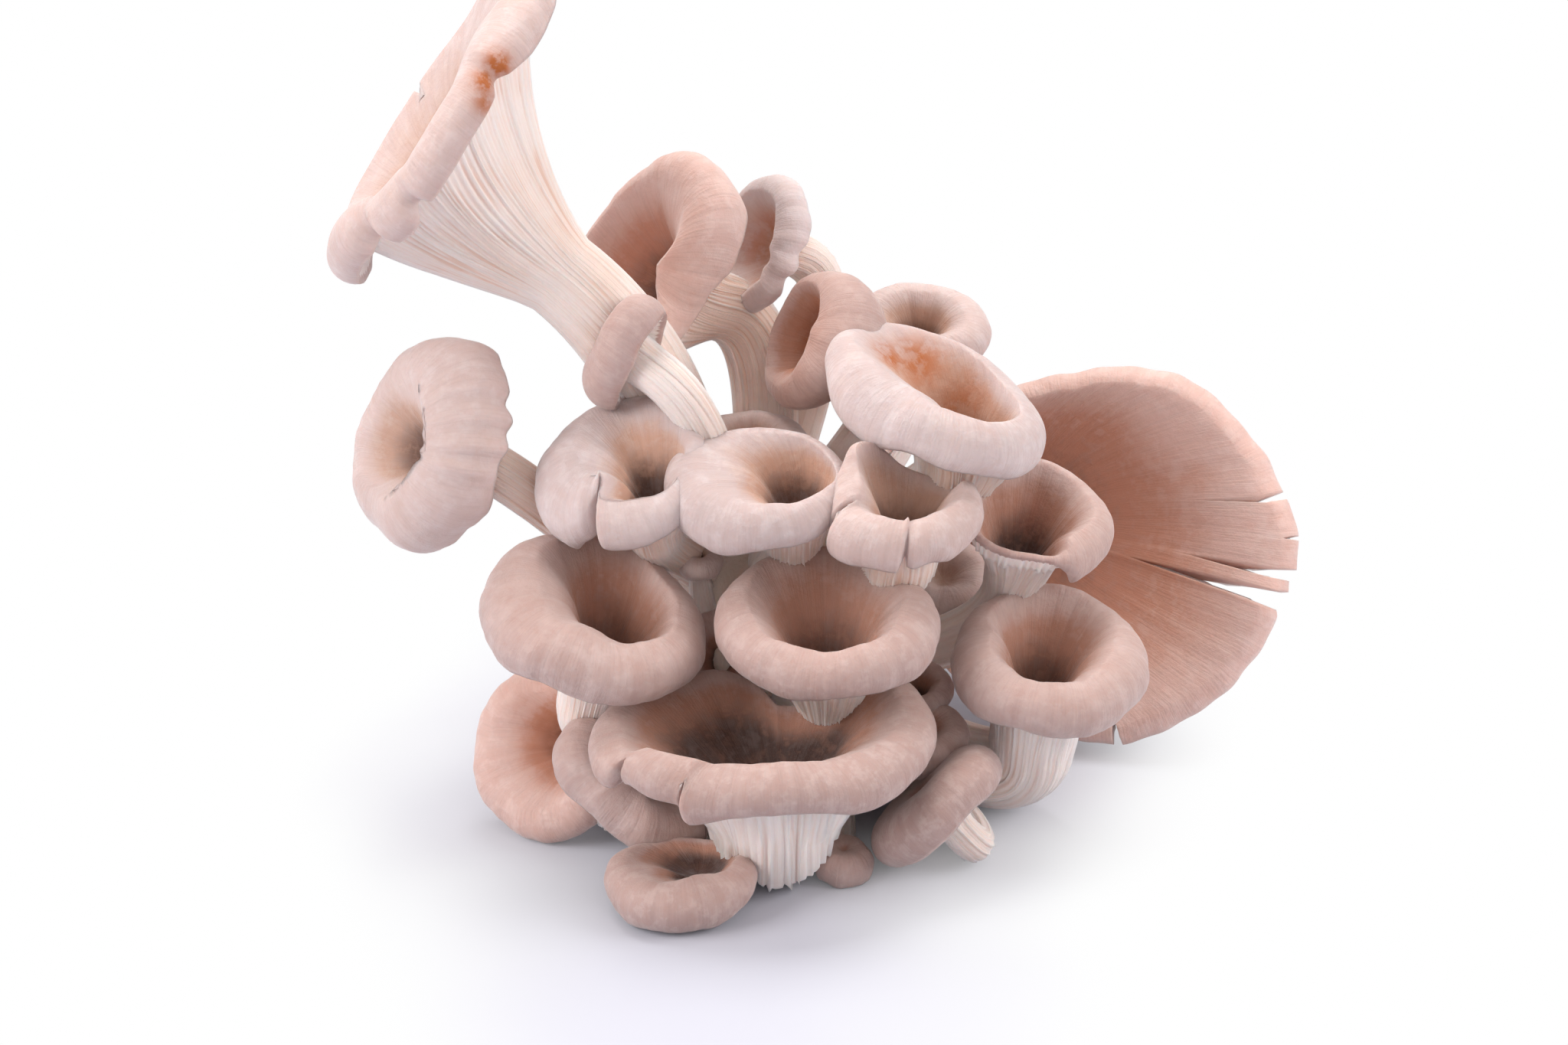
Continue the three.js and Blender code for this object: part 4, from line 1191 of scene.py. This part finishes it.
MUSHROOMS: tuple[Mushroom, ...] = (
    Mushroom(
        name="front_bowl", tone=Tone.BROWN, crown=(-1.6, -48, 35), tilt=3, toward=280, reach=(24, 34),
        depth=14.9, neck=(12, 22.6), foot=(0, -18, 11), heel=8, rise=(0, -14, -1), throat=(3.5, 1.2),
        mouth=0.6, roll=(7, 5.5), curl=35, flesh=3, flare=1.12, pull=0.2, arrive=(0, -0.7, 0.7),
        tears=(Tear(287, 0.9, 2.5), Tear(313.5, 0.5, 2.5), Tear(115, 0.8, 7)), gills=52, blade=1.6,
        decurrent=0.1, flutes=0.11, dusk=1.7, warmth=0.12, tan=0.16, detail=Detail.FINE,
        rim=(
            RimKey(0), RimKey(60, roll=1.05), RimKey(85, up=0.5, roll=1.1),
            RimKey(106, out=0.5, up=1.5, roll=0.8, mouth=0.6), RimKey(113, up=1.5, roll=0.5, mouth=0.6),
            RimKey(117, out=-9, up=-3, roll=0.2, mouth=0.7),
            RimKey(135, out=-12, up=-4, roll=0.2, mouth=0.75),
            RimKey(158, out=-11, up=-4, roll=0.2, mouth=0.8),
            RimKey(178, out=-5, up=-2, roll=0.3, mouth=0.85), RimKey(200, out=-1, roll=0.4, mouth=0.9),
            RimKey(240, roll=0.5, mouth=0.8), RimKey(262, out=0.5, roll=0.8, mouth=0.75),
            RimKey(284, out=1, up=-0.5, roll=0.85, mouth=0.7),
            RimKey(289, out=-1.2, up=0.8, roll=0.85, mouth=0.7),
            RimKey(300, out=-0.5, up=1, roll=0.95, mouth=0.68),
            RimKey(311, out=-0.5, up=0.8, roll=0.9, mouth=0.65),
            RimKey(316, out=0.8, up=-0.3, roll=1.15, mouth=0.55), RimKey(335, roll=1.05),
        ),
    ),
    Mushroom(
        name="left_cup", tone=Tone.BROWN, crown=(-34, -32, 55), tilt=16, toward=330, reach=(23, 22), depth=20,
        neck=(7, 27), foot=(-14, -10, 16), heel=6, rise=(-10, -6, 4), throat=(2.8, 3.4), roll=(8, 7), curl=45,
        flesh=3.5, gills=72, dusk=0.8, seed=2, detail=Detail.FINE,
        rim=(
            RimKey(0, up=-1.4, roll=0.95, mouth=0.6), RimKey(30, up=-1.2, roll=0.9, mouth=0.6),
            RimKey(75, up=-0.5, roll=0.75, mouth=0.6), RimKey(115, roll=0.4, mouth=0.75),
            RimKey(155, roll=0.65, mouth=0.6), RimKey(210, roll=1.25, mouth=0.45),
            RimKey(270, up=-0.8, mouth=0.45), RimKey(320, up=-1.6, roll=0.9, mouth=0.55),
        ),
    ),
    Mushroom(
        name="centre_cup", tone=Tone.BROWN, crown=(10.5, -34, 54), tilt=8, toward=270, reach=(20.5, 22.5),
        depth=19, neck=(5.5, 24), foot=(4, -14, 20), heel=6, rise=(2, -8, 6), throat=(4, 0), roll=(7, 6.5),
        curl=42, flesh=3.5, flare=1.1, gills=64, blade=1.5, warmth=0.1, tan=0.08, seed=3, detail=Detail.FINE,
        rim=(
            RimKey(0, up=-1.7, roll=0.8, mouth=0.65), RimKey(45, up=-1, roll=0.9, mouth=0.58),
            RimKey(80, roll=1.1), RimKey(130, roll=0.7, mouth=0.6), RimKey(180, roll=0.35, mouth=0.8),
            RimKey(230, roll=0.55, mouth=0.65), RimKey(280, roll=0.95),
            RimKey(320, up=-1, roll=0.85, mouth=0.6),
        ),
    ),
    Mushroom(
        name="right_cup", tone=Tone.BROWN, crown=(55.7, -28, 43), tilt=10, toward=300, reach=(19, 20.5),
        depth=18, neck=(8.5, 27), foot=(28, -8, 9.5), heel=7, rise=(8, -6, -1), throat=(0, -1.5),
        roll=(7, 6.5), curl=42, flesh=3.5, gills=64, decurrent=0.3, flutes=0.09, warmth=0.15, seed=4,
        detail=Detail.FINE,
        rim=(
            RimKey(327, up=-2.3, roll=0.9, mouth=0.6), RimKey(10, up=-1.5, roll=0.95, mouth=0.55),
            RimKey(57, up=-0.3, roll=1.1), RimKey(100, roll=0.8, mouth=0.55),
            RimKey(147, roll=0.45, mouth=0.7), RimKey(190, roll=0.5, mouth=0.65), RimKey(237),
            RimKey(285, up=-1.2, roll=0.95, mouth=0.55),
        ),
    ),
    Mushroom(
        name="split_cup", tone=Tone.PALE, crown=(26.5, -24, 72), tilt=10, toward=300, reach=(13, 16),
        depth=12, neck=(7, 16.5), foot=(9, -8, 40), heel=5, rise=(4, -6, 8), flesh=2.6, flare=1.5, pull=0.35,
        arrive=(0.1, -0.85, 0.5), tears=(Tear(262, 2, 5), Tear(90, 1.5, 5), Tear(204, 1.5, 1.5)), warmth=0.6,
        tan=0.14, seed=5, detail=Detail.FINE,
        rim=(
            RimKey(0, roll=1.05), RimKey(68), RimKey(88, up=0.5, roll=0.8, mouth=0.6),
            RimKey(92, out=-1.5, up=-3, roll=0.5, mouth=0.7), RimKey(104, out=-1, up=-4, roll=0.3, mouth=0.8),
            RimKey(110, up=-4.5, roll=0.2, mouth=0.9), RimKey(150, up=-1, roll=0.2, mouth=0.9),
            RimKey(175, up=3.5, roll=0.2, mouth=0.85), RimKey(198, up=6.5, roll=0.2, mouth=0.8),
            RimKey(210, up=7, roll=0.3, mouth=0.7), RimKey(228, up=4, roll=0.8, mouth=0.6),
            RimKey(258, up=2, roll=1.1), RimKey(264, up=0.5), RimKey(268, out=1.5, roll=1.25),
            RimKey(300, out=1, roll=1.2), RimKey(322, out=0.8, roll=1.15),
            RimKey(327, out=-0.8, up=0.4, roll=0.95), RimKey(329, out=-2.2, up=0.2, roll=0.8),
            RimKey(331, out=-0.2, up=-0.4, roll=0.95), RimKey(340, out=0.3, roll=1.1),
        ),
    ),
    Mushroom(
        name="middle_cup", tone=Tone.WHITE, crown=(-3.8, -20, 77), tilt=12, toward=270, reach=(16, 18.2),
        depth=12.5, neck=(6.5, 16.8), foot=(0, -5, 44), heel=5.5, rise=(0, -3, 8), throat=(0, 7.5),
        roll=(6, 6), curl=42, flesh=3, flare=1.4, pull=0.35, arrive=(0, -0.85, 0.5), gills=60, dusk=1.1,
        tan=0.12, seed=6, detail=Detail.FINE,
        rim=(
            RimKey(0, up=-1.8, roll=0.9, mouth=0.65), RimKey(40, out=0.5, up=-1.8, roll=0.8, mouth=0.65),
            RimKey(85, out=1, up=-2.6, roll=0.5, mouth=0.75), RimKey(125, up=-1, roll=0.5, mouth=0.75),
            RimKey(180, roll=0.85, mouth=0.55), RimKey(230, roll=0.9, mouth=0.48),
            RimKey(270, roll=1.15, mouth=0.38), RimKey(315, up=-1, roll=1.05),
        ),
    ),
    Mushroom(
        name="upper_left_cup", tone=Tone.WHITE, crown=(-32, -14, 79), tilt=16, toward=225, reach=(18, 18),
        depth=12.5, neck=(6, 17), foot=(-10, -1, 42), heel=5.5, rise=(-6, -3, 8), throat=(2, 9),
        roll=(7, 6.5), curl=42, flesh=3, pull=0.35, arrive=(-0.1, -0.8, 0.6), tears=(Tear(30.5, 1.1, 6),),
        gills=64, dusk=1.2, warmth=0.6, seed=7, detail=Detail.FINE,
        rim=(
            RimKey(298, roll=1.5, mouth=0.3), RimKey(0, up=-1, roll=1.4, mouth=0.36),
            RimKey(14, out=-0.5, up=-0.8, roll=1.1, mouth=0.42),
            RimKey(24, out=-2, up=-0.8, roll=0.95, mouth=0.42),
            RimKey(29.5, out=-5, up=0.3, roll=0.55, mouth=0.45), RimKey(31.5, out=1.5, up=-3.2, roll=0.85),
            RimKey(50, out=2, up=-4.4, roll=0.8, mouth=0.6),
            RimKey(80, out=1.5, up=-5.2, roll=0.7, mouth=0.65), RimKey(110, up=-4.6, roll=0.5, mouth=0.7),
            RimKey(140, up=-1.5, roll=0.5, mouth=0.7), RimKey(180, up=1.8, roll=0.8, mouth=0.55),
            RimKey(226, up=1, roll=0.9, mouth=0.48),
        ),
    ),
    Mushroom(
        name="right_inner_cup", tone=Tone.BROWN, crown=(53.2, -12, 64.5), tilt=20, toward=310,
        reach=(15.5, 16.8), depth=16, neck=(5.5, 22), foot=(22, -2, 25), heel=5, rise=(8, -4, 4),
        throat=(1, -1), gills=60, seed=8, detail=Detail.FINE,
        rim=(
            RimKey(10, roll=1.1), RimKey(67, roll=1.05, mouth=0.55), RimKey(100, roll=0.8, mouth=0.65),
            RimKey(138, roll=0.5, mouth=0.75), RimKey(200, roll=0.6, mouth=0.7),
            RimKey(240, up=-0.5, roll=0.5, mouth=0.7), RimKey(262, out=-1, up=-2, roll=0.2, mouth=0.8),
            RimKey(330, out=-2, up=-2.5, roll=0.15, mouth=0.8),
            RimKey(348, out=-1, up=-1.5, roll=0.5, mouth=0.7), RimKey(356, mouth=0.6),
        ),
    ),
    Mushroom(
        name="pale_cup", tone=Tone.WHITE, crown=(34, -3.5, 88.9), tilt=18, toward=335, reach=(24, 18.5),
        depth=13, neck=(8, 20), foot=(12, 6, 46), heel=5.5, rise=(5, -2, 8), throat=(9, 0), roll=(6, 6),
        curl=42, flesh=3, flare=1.25, pull=0.35, arrive=(0.2, -0.6, 0.75),
        stains=(
            Stain(Zone.BOWL, 0.75, 150, 6, 1.3), Stain(Zone.BOWL, 0.55, 110, 6, 1),
            Stain(Zone.BOWL, 0.8, 175, 4.5, 1.3),
        ),
        gills=72, dusk=0.95, warmth=0.5, tan=0.02, seed=9, detail=Detail.FINE,
        rim=(
            RimKey(231, roll=1.3), RimKey(293, mouth=0.55), RimKey(0, roll=1.2),
            RimKey(51, roll=1.4, mouth=0.45), RimKey(80, mouth=0.6), RimKey(113, roll=0.6, mouth=0.75),
            RimKey(170, roll=0.7, mouth=0.65),
        ),
    ),
    Mushroom(
        name="left_far_cap", tone=Tone.PALE, crown=(-77, -8, 76), tilt=70, toward=215, reach=(21.5, 20),
        depth=6.5, neck=(5, 18), foot=(-20, 4, 38), heel=5, rise=(-10, 0, 2), throat=(-0.7, 8.7), mouth=0.3,
        roll=(10, 10), curl=30, flesh=3, pull=0.35, arrive=(-0.8, 0.1, 0.45), gills=60, dusk=1.1, warmth=1,
        seed=10,
        rim=(
            RimKey(0, out=-1, mouth=0.3), RimKey(40, out=-1, mouth=0.26), RimKey(70, mouth=0.25),
            RimKey(90, out=0.5, mouth=0.25), RimKey(97, out=1.3, roll=0.97, mouth=0.25),
            RimKey(103, out=0.8, mouth=0.25), RimKey(110, out=1.8, mouth=0.25),
            RimKey(119, out=0.6, roll=0.95, mouth=0.25), RimKey(126, out=1.6, mouth=0.25),
            RimKey(136, out=0.9, roll=0.95, mouth=0.25), RimKey(143, out=2.2, mouth=0.28),
            RimKey(158, out=2.4, mouth=0.3), RimKey(166, out=3.2, mouth=0.33),
            RimKey(176, out=2.4, roll=0.9, mouth=0.35), RimKey(200, roll=0.8),
            RimKey(230, out=-4, roll=0.7, mouth=0.7), RimKey(265, out=-2.5, roll=0.8, mouth=0.75),
            RimKey(300, mouth=0.7), RimKey(330, mouth=0.45),
        ),
    ),
    Mushroom(
        name="left_low_cap", tone=Tone.ROSY, crown=(-47, -30, 19), tilt=60, toward=238, reach=(18.5, 18),
        depth=11, neck=(5, 17), foot=(-24, -4, 9), heel=5, rise=(-8, -4, 1), throat=(-3, 4), roll=(6, 5),
        flesh=3, flare=1.7, stains=(Stain(Zone.BOWL, 0.6, 200, 9, 0.7), Stain(Zone.BOWL, 0.45, 160, 8, 0.5)),
        tan=0.12, seed=11,
    ),
    Mushroom(
        name="left_crescent", tone=Tone.BROWN, crown=(-25.5, -40, 20), tilt=35, toward=331, reach=(18, 16),
        depth=6, neck=(4.5, 13), foot=(-15, -14, 8), heel=4.5, rise=(-4, -6, -1), mouth=0.4, roll=(6, 6),
        curl=30, flesh=3, pull=0.2, tears=(Tear(6, 1.1, 3), Tear(17, 0.9, 2.5)), gills=52, seed=12,
        rim=(
            RimKey(0), RimKey(45), RimKey(180), RimKey(220, out=-0.8), RimKey(250, out=-3.2),
            RimKey(285, out=-3.8), RimKey(318, out=-1.5),
        ),
    ),
    Mushroom(
        name="right_crescent", tone=Tone.BROWN, crown=(28.5, -43, 17.5), tilt=46, toward=160, reach=(16, 15),
        depth=2, neck=(3.6, 12), foot=(24, -14, 8), heel=4.5, rise=(10, -8, 0), mouth=0.3, roll=(6.5, 5.5),
        curl=50, flesh=2.6, gills=48, wobble=0.5, dusk=0.3, tan=0.22, seed=13,
    ),
    Mushroom(
        name="floor_cup", tone=Tone.BROWN, crown=(-18, -60, 10.8), tilt=3, toward=200, reach=(15.3, 14),
        depth=4.6, neck=(2.4, 7.3), foot=(-10, -20, 6.5), heel=3.6, rise=(-3, -10, 0), throat=(-3, 0),
        mouth=0.65, roll=(5, 4.8), curl=50, flesh=1.9, flare=1.5, arrive=(-0.3, -0.85, 0.3), gills=44,
        dusk=1.3, tan=0.18, seed=14,
        rim=(
            RimKey(0), RimKey(30, roll=1.1, mouth=0.7), RimKey(90, roll=1.15, mouth=0.7),
            RimKey(140, roll=0.9, mouth=0.75), RimKey(200, out=-2.5, up=-1.2, roll=0.35, mouth=0.85),
            RimKey(270, out=-2.5, up=-1.2, roll=0.35, mouth=0.85), RimKey(330, roll=0.8, mouth=0.7),
        ),
    ),
    Mushroom(
        name="edge_cap", tone=Tone.BROWN, crown=(-34.3, -1.7, 96.8), tilt=64, toward=155, reach=(13.5, 8),
        depth=6, neck=(4.5, 12), foot=(-9, 4, 47), heel=4.5, rise=(-4, 0, 8), roll=(6.5, 6), flesh=2.6,
        gills=44, wobble=0.3, seed=15,
        rim=(RimKey(0), RimKey(90, roll=1.05), RimKey(180, roll=0.95), RimKey(270)),
    ),
    Mushroom(
        name="back_left_cup", tone=Tone.BROWN, crown=(5, 14, 91), tilt=62, toward=200, reach=(15, 13),
        depth=12, neck=(5, 18), foot=(5, 11, 48), heel=5, rise=(2, 2, 8),
        stains=tuple(Stain(Zone.BOWL, 0.5, angle, 8, 0.8) for angle in (20, 110, 200, 290)),
        gills=48, dusk=1.15, seed=16,
        rim=(
            RimKey(0, roll=0.7), RimKey(60, roll=1.3), RimKey(110, roll=1.7), RimKey(150, roll=1.6),
            RimKey(185, mouth=0.6), RimKey(230, roll=0.4, mouth=0.8), RimKey(280, roll=0.3, mouth=0.9),
            RimKey(330, roll=0.4, mouth=0.8),
        ),
    ),
    Mushroom(
        name="back_right_cap", tone=Tone.PALE, crown=(30, 26, 90), tilt=25, toward=270, reach=(12, 15),
        depth=9, neck=(5, 18), foot=(14, 18, 46), heel=5, rise=(4, 4, 8), gills=48, seed=17,
    ),
    Mushroom(
        name="tall_cap", tone=Tone.PALE, crown=(-69.5, 12, 138.5), tilt=53, toward=167, reach=(38, 32),
        depth=20, neck=(8.7, 41), foot=(-15, 18, 48), heel=10, rise=(-6, 2, 12), throat=(8.5, 0), roll=(7, 6),
        flesh=3.5, flare=1.2, tears=(Tear(289, 2.6, 7),),
        stains=(
            Stain(Zone.BRIM, -0.2, 144, 3.2, 1.6), Stain(Zone.BRIM, -0.2, 137, 3.2, 1.6),
            Stain(Zone.BRIM, -0.5, 131, 2.6, 1.2),
        ),
        gills=108, blade=0.7, decurrent=0.25, warmth=0.45, tan=0.1, seed=18, detail=Detail.FINE,
        rim=(
            RimKey(0, out=-1), RimKey(30, out=-1, up=-1), RimKey(56, up=-1.5),
            RimKey(66, out=-3, up=-3, roll=0.7), RimKey(71, out=0.5, up=-3.8, roll=0.95),
            RimKey(83, out=1, up=-4), RimKey(90, out=-1, up=-4, roll=0.72),
            RimKey(95, out=1.5, up=-4.2, roll=0.92), RimKey(105, out=2, up=-3.4, roll=0.95),
            RimKey(120, out=1, up=-2, roll=0.88), RimKey(135, up=-1.2, roll=0.82),
            RimKey(140, out=-1.5, up=-0.6, roll=0.7), RimKey(145, roll=0.9), RimKey(158, up=0.8, roll=1.05),
            RimKey(175, up=1.5), RimKey(195, up=2.2, roll=0.85), RimKey(215, up=4, roll=0.6),
            RimKey(240, up=6.5, roll=0.45), RimKey(275, up=6.5, roll=0.4), RimKey(300, up=5.5, roll=0.45),
            RimKey(330, up=2.5, roll=0.7),
        ),
    ),
    Mushroom(
        name="top_cap", tone=Tone.ROSY, crown=(-26, 22.5, 103), tilt=69, toward=212, reach=(24, 19), depth=12,
        neck=(7, 20), foot=(-2, 22, 50), heel=6.5, rise=(0, 4, 12), throat=(6, 0), roll=(7, 6), flesh=3.2,
        flare=1.6, gills=84, decurrent=0.3, dusk=0.85, warmth=0.6, seed=19, detail=Detail.FINE,
        rim=(
            RimKey(0, out=-1, roll=0.45), RimKey(20, roll=0.35), RimKey(45, out=-4.5, roll=0.6),
            RimKey(70, out=-7), RimKey(95, out=-6.5, roll=1.15), RimKey(118, out=-4, roll=1.3),
            RimKey(140, out=-1, roll=1.3), RimKey(160, roll=1.1), RimKey(180, roll=0.8),
            RimKey(205, roll=0.55, mouth=0.7), RimKey(250, out=1, up=1, roll=0.35, mouth=0.8),
            RimKey(285, out=4, up=3, roll=0.3, mouth=0.8), RimKey(315, out=4, up=3, roll=0.3, mouth=0.8),
            RimKey(340, roll=0.4, mouth=0.6),
        ),
    ),
    Mushroom(
        name="top_back_cap", tone=Tone.WHITE, crown=(-5.5, 34, 103.5), tilt=66, toward=214, reach=(15, 11.5),
        depth=9, neck=(4.5, 12), foot=(1, 28, 46), heel=5, rise=(0, 4, 10), mouth=0.7, roll=(4.5, 4.5),
        flesh=2.6, flare=1.7,
        stains=tuple(Stain(Zone.BOWL, 0.5, angle, 5, 0.6) for angle in (20, 110, 200, 290)),
        dusk=0.25, warmth=0.5, seed=20,
        rim=(
            RimKey(0, roll=0.7, mouth=0.8), RimKey(50, out=1, roll=0.7, mouth=0.85),
            RimKey(66, out=-0.4, roll=0.7, mouth=0.85), RimKey(84, out=0.8, roll=0.8, mouth=0.85),
            RimKey(98, out=-0.3, roll=0.8, mouth=0.85), RimKey(112, out=0.4, roll=0.9, mouth=0.85),
            RimKey(180, roll=0.9, mouth=0.8), RimKey(270, roll=0.4, mouth=0.85),
        ),
    ),
    Mushroom(
        name="big_fan", tone=Tone.ROSY, crown=(67.7, 18, 40), tilt=62, toward=258, reach=(40, 40), depth=17,
        neck=(8, 24), foot=(26, 18, 22), heel=7, rise=(10, 4, 0), throat=(-5, -21), mouth=0.85, roll=(4, 4),
        curl=20, flesh=3.2, flare=1.5, pull=0.35, arrive=(0.45, -0.1, 0.85),
        tears=(Tear(112, 1, 11), Tear(88, 1.6, 13), Tear(80, 2.6, 19), Tear(99, 0.6, 3), Tear(11, 1.2, 6)),
        gills=104, dusk=0.6, seed=21, detail=Detail.FINE,
        rim=(
            RimKey(0, mouth=0.85), RimKey(75, mouth=0.85), RimKey(79, out=-1, mouth=0.85),
            RimKey(82, out=1.2, up=0.8, mouth=0.85), RimKey(87, out=0.4, mouth=0.85),
            RimKey(90, out=1.6, mouth=0.85), RimKey(109, out=0.5, mouth=0.85), RimKey(113, mouth=0.85),
            RimKey(180, mouth=0.8), RimKey(270, mouth=0.85),
        ),
    ),
    Mushroom(
        name="petal_cap", tone=Tone.BROWN, crown=(28, -33, 26), tilt=16, toward=300, reach=(9.5, 12.5),
        depth=6, neck=(3.5, 10), foot=(20, -12, 13), heel=4, rise=(3, -4, 1), roll=(4, 4), curl=35, flesh=2,
        gills=36, seed=22, detail=Detail.SMALL,
    ),
    Mushroom(
        name="curled_cap", tone=Tone.BROWN, crown=(28, -22, 30), tilt=20, toward=250, reach=(7.5, 8), depth=7,
        neck=(3.2, 11), foot=(20, -8, 18), heel=3.6, rise=(3, -3, 3), roll=(2.6, 2.6), curl=35, flesh=1.8,
        flare=1.6, gills=36, seed=23, detail=Detail.SMALL,
    ),
    Mushroom(
        name="shaded_cap", tone=Tone.BROWN, crown=(-11, -20, 34), tilt=55, toward=265, reach=(11, 9), depth=5,
        neck=(3.5, 9), foot=(-8, -8, 26), heel=4, rise=(0, -2, 1), roll=(4, 4), curl=35, flesh=2.2, gills=36,
        seed=24, detail=Detail.SMALL,
    ),
    Mushroom(
        name="behind_cup", tone=Tone.PALE, crown=(-5, 6, 73), tilt=8, toward=270, reach=(11, 13), depth=9,
        neck=(4.5, 15), foot=(-2, 8, 50), heel=4.5, rise=(0, 0, 3), flesh=2.6, gills=36, seed=25,
        detail=Detail.SMALL,
    ),
    Mushroom(
        name="inner_cap", tone=Tone.PALE, crown=(35, 4, 42), tilt=34, toward=270, reach=(10, 11), depth=3.5,
        neck=(4, 11), foot=(20, 8, 26), heel=4.5, rise=(4, 0, 3), roll=(4, 4), curl=35, flesh=2.4, gills=36,
        dusk=0.25, seed=26, detail=Detail.SMALL,
    ),
    Mushroom(
        name="young_button", tone=Tone.PALE, crown=(-15, -12, 54), tilt=10, toward=270, reach=(4.8, 4.8),
        depth=1.5, neck=(2, 6), foot=(-12, -7, 32), heel=3.6, rise=(-1, -2, 5), roll=(2.6, 2.6), curl=35,
        flesh=1.6, gills=36, seed=27, detail=Detail.SMALL,
    ),
    Mushroom(
        name="floor_button", tone=Tone.BROWN, crown=(14, -49, 6.8), tilt=4, toward=300, reach=(5.6, 6),
        depth=0.7, neck=(2, 4.6), foot=(13, -20, 6), heel=3, rise=(1, -10, 0), mouth=0.3, roll=(3.2, 4.2),
        curl=35, flesh=1.4, flare=1.6, arrive=(0, -0.9, 0.4), gills=36, dusk=0.2, seed=28,
        detail=Detail.SMALL,
        rim=(
            RimKey(0, mouth=0.3), RimKey(100, roll=0.8, mouth=0.3), RimKey(150, roll=0.3, mouth=0.3),
            RimKey(210, roll=0.3, mouth=0.3), RimKey(260, roll=0.8, mouth=0.3),
        ),
    ),
    Mushroom(
        name="rear_left_cup", tone=Tone.BROWN, crown=(-27, 40, 33), tilt=22, toward=130, reach=(17, 16),
        depth=13, neck=(6, 20), foot=(-15, 22, 10), heel=5.5, rise=(-3, 6, 0), roll=(6, 6), curl=42, flesh=3,
        pull=0.35, arrive=(-0.35, 0.45, 0.8), gills=36, seed=29, detail=Detail.SMALL,
    ),
    Mushroom(
        name="rear_middle_cup", tone=Tone.PALE, crown=(1, 48, 45), tilt=24, toward=90, reach=(16, 17),
        depth=13, neck=(6, 21), foot=(0, 28, 22), heel=5.5, rise=(0, 6, 1), roll=(6, 6), curl=42, flesh=3,
        pull=0.35, arrive=(0, 0.5, 0.8), gills=36, seed=30, detail=Detail.SMALL,
    ),
    Mushroom(
        name="rear_right_cup", tone=Tone.BROWN, crown=(28, 46, 34), tilt=22, toward=60, reach=(14, 15),
        depth=12, neck=(5.5, 19), foot=(15, 26, 11), heel=5, rise=(4, 6, 0), curl=42, pull=0.35,
        arrive=(0.3, 0.5, 0.8), gills=36, seed=31, detail=Detail.SMALL,
    ),
)


def main() -> None:
    """Builds the cluster and its studio, and reports each piece."""
    logging.basicConfig(level=logging.INFO, format="%(message)s")
    fibrils, mottle = fibril_effect(), mottle_effect()
    materials = {tone: finish.material(fibrils, mottle) for tone, finish in FINISHES.items()}
    for mushroom in MUSHROOMS:
        dress(mushroom.build(), mushroom.name, mushroom.tone, materials)
    foot = FusedFoot()
    dress(foot.build(), foot.name, Tone.FOOT, materials)
    Studio().set_up()


def dress(piece: bpy.types.Object, node: str, tone: Tone, materials: dict[Tone, bpy.types.Material]) -> None:
    """Gives a piece its material and its place in the frame.

    Args:
        piece: The piece.
        node: The CAD node that it stands for.
        tone: Its finish.
        materials: The material of each finish.
    """
    piece.data.materials.append(materials[tone])
    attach(piece, BODY)
    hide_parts(node)
    log.info("%s: %d faces, %s", piece.name, len(piece.data.polygons), tone.value[0])


if __name__ == "__main__":
    main()
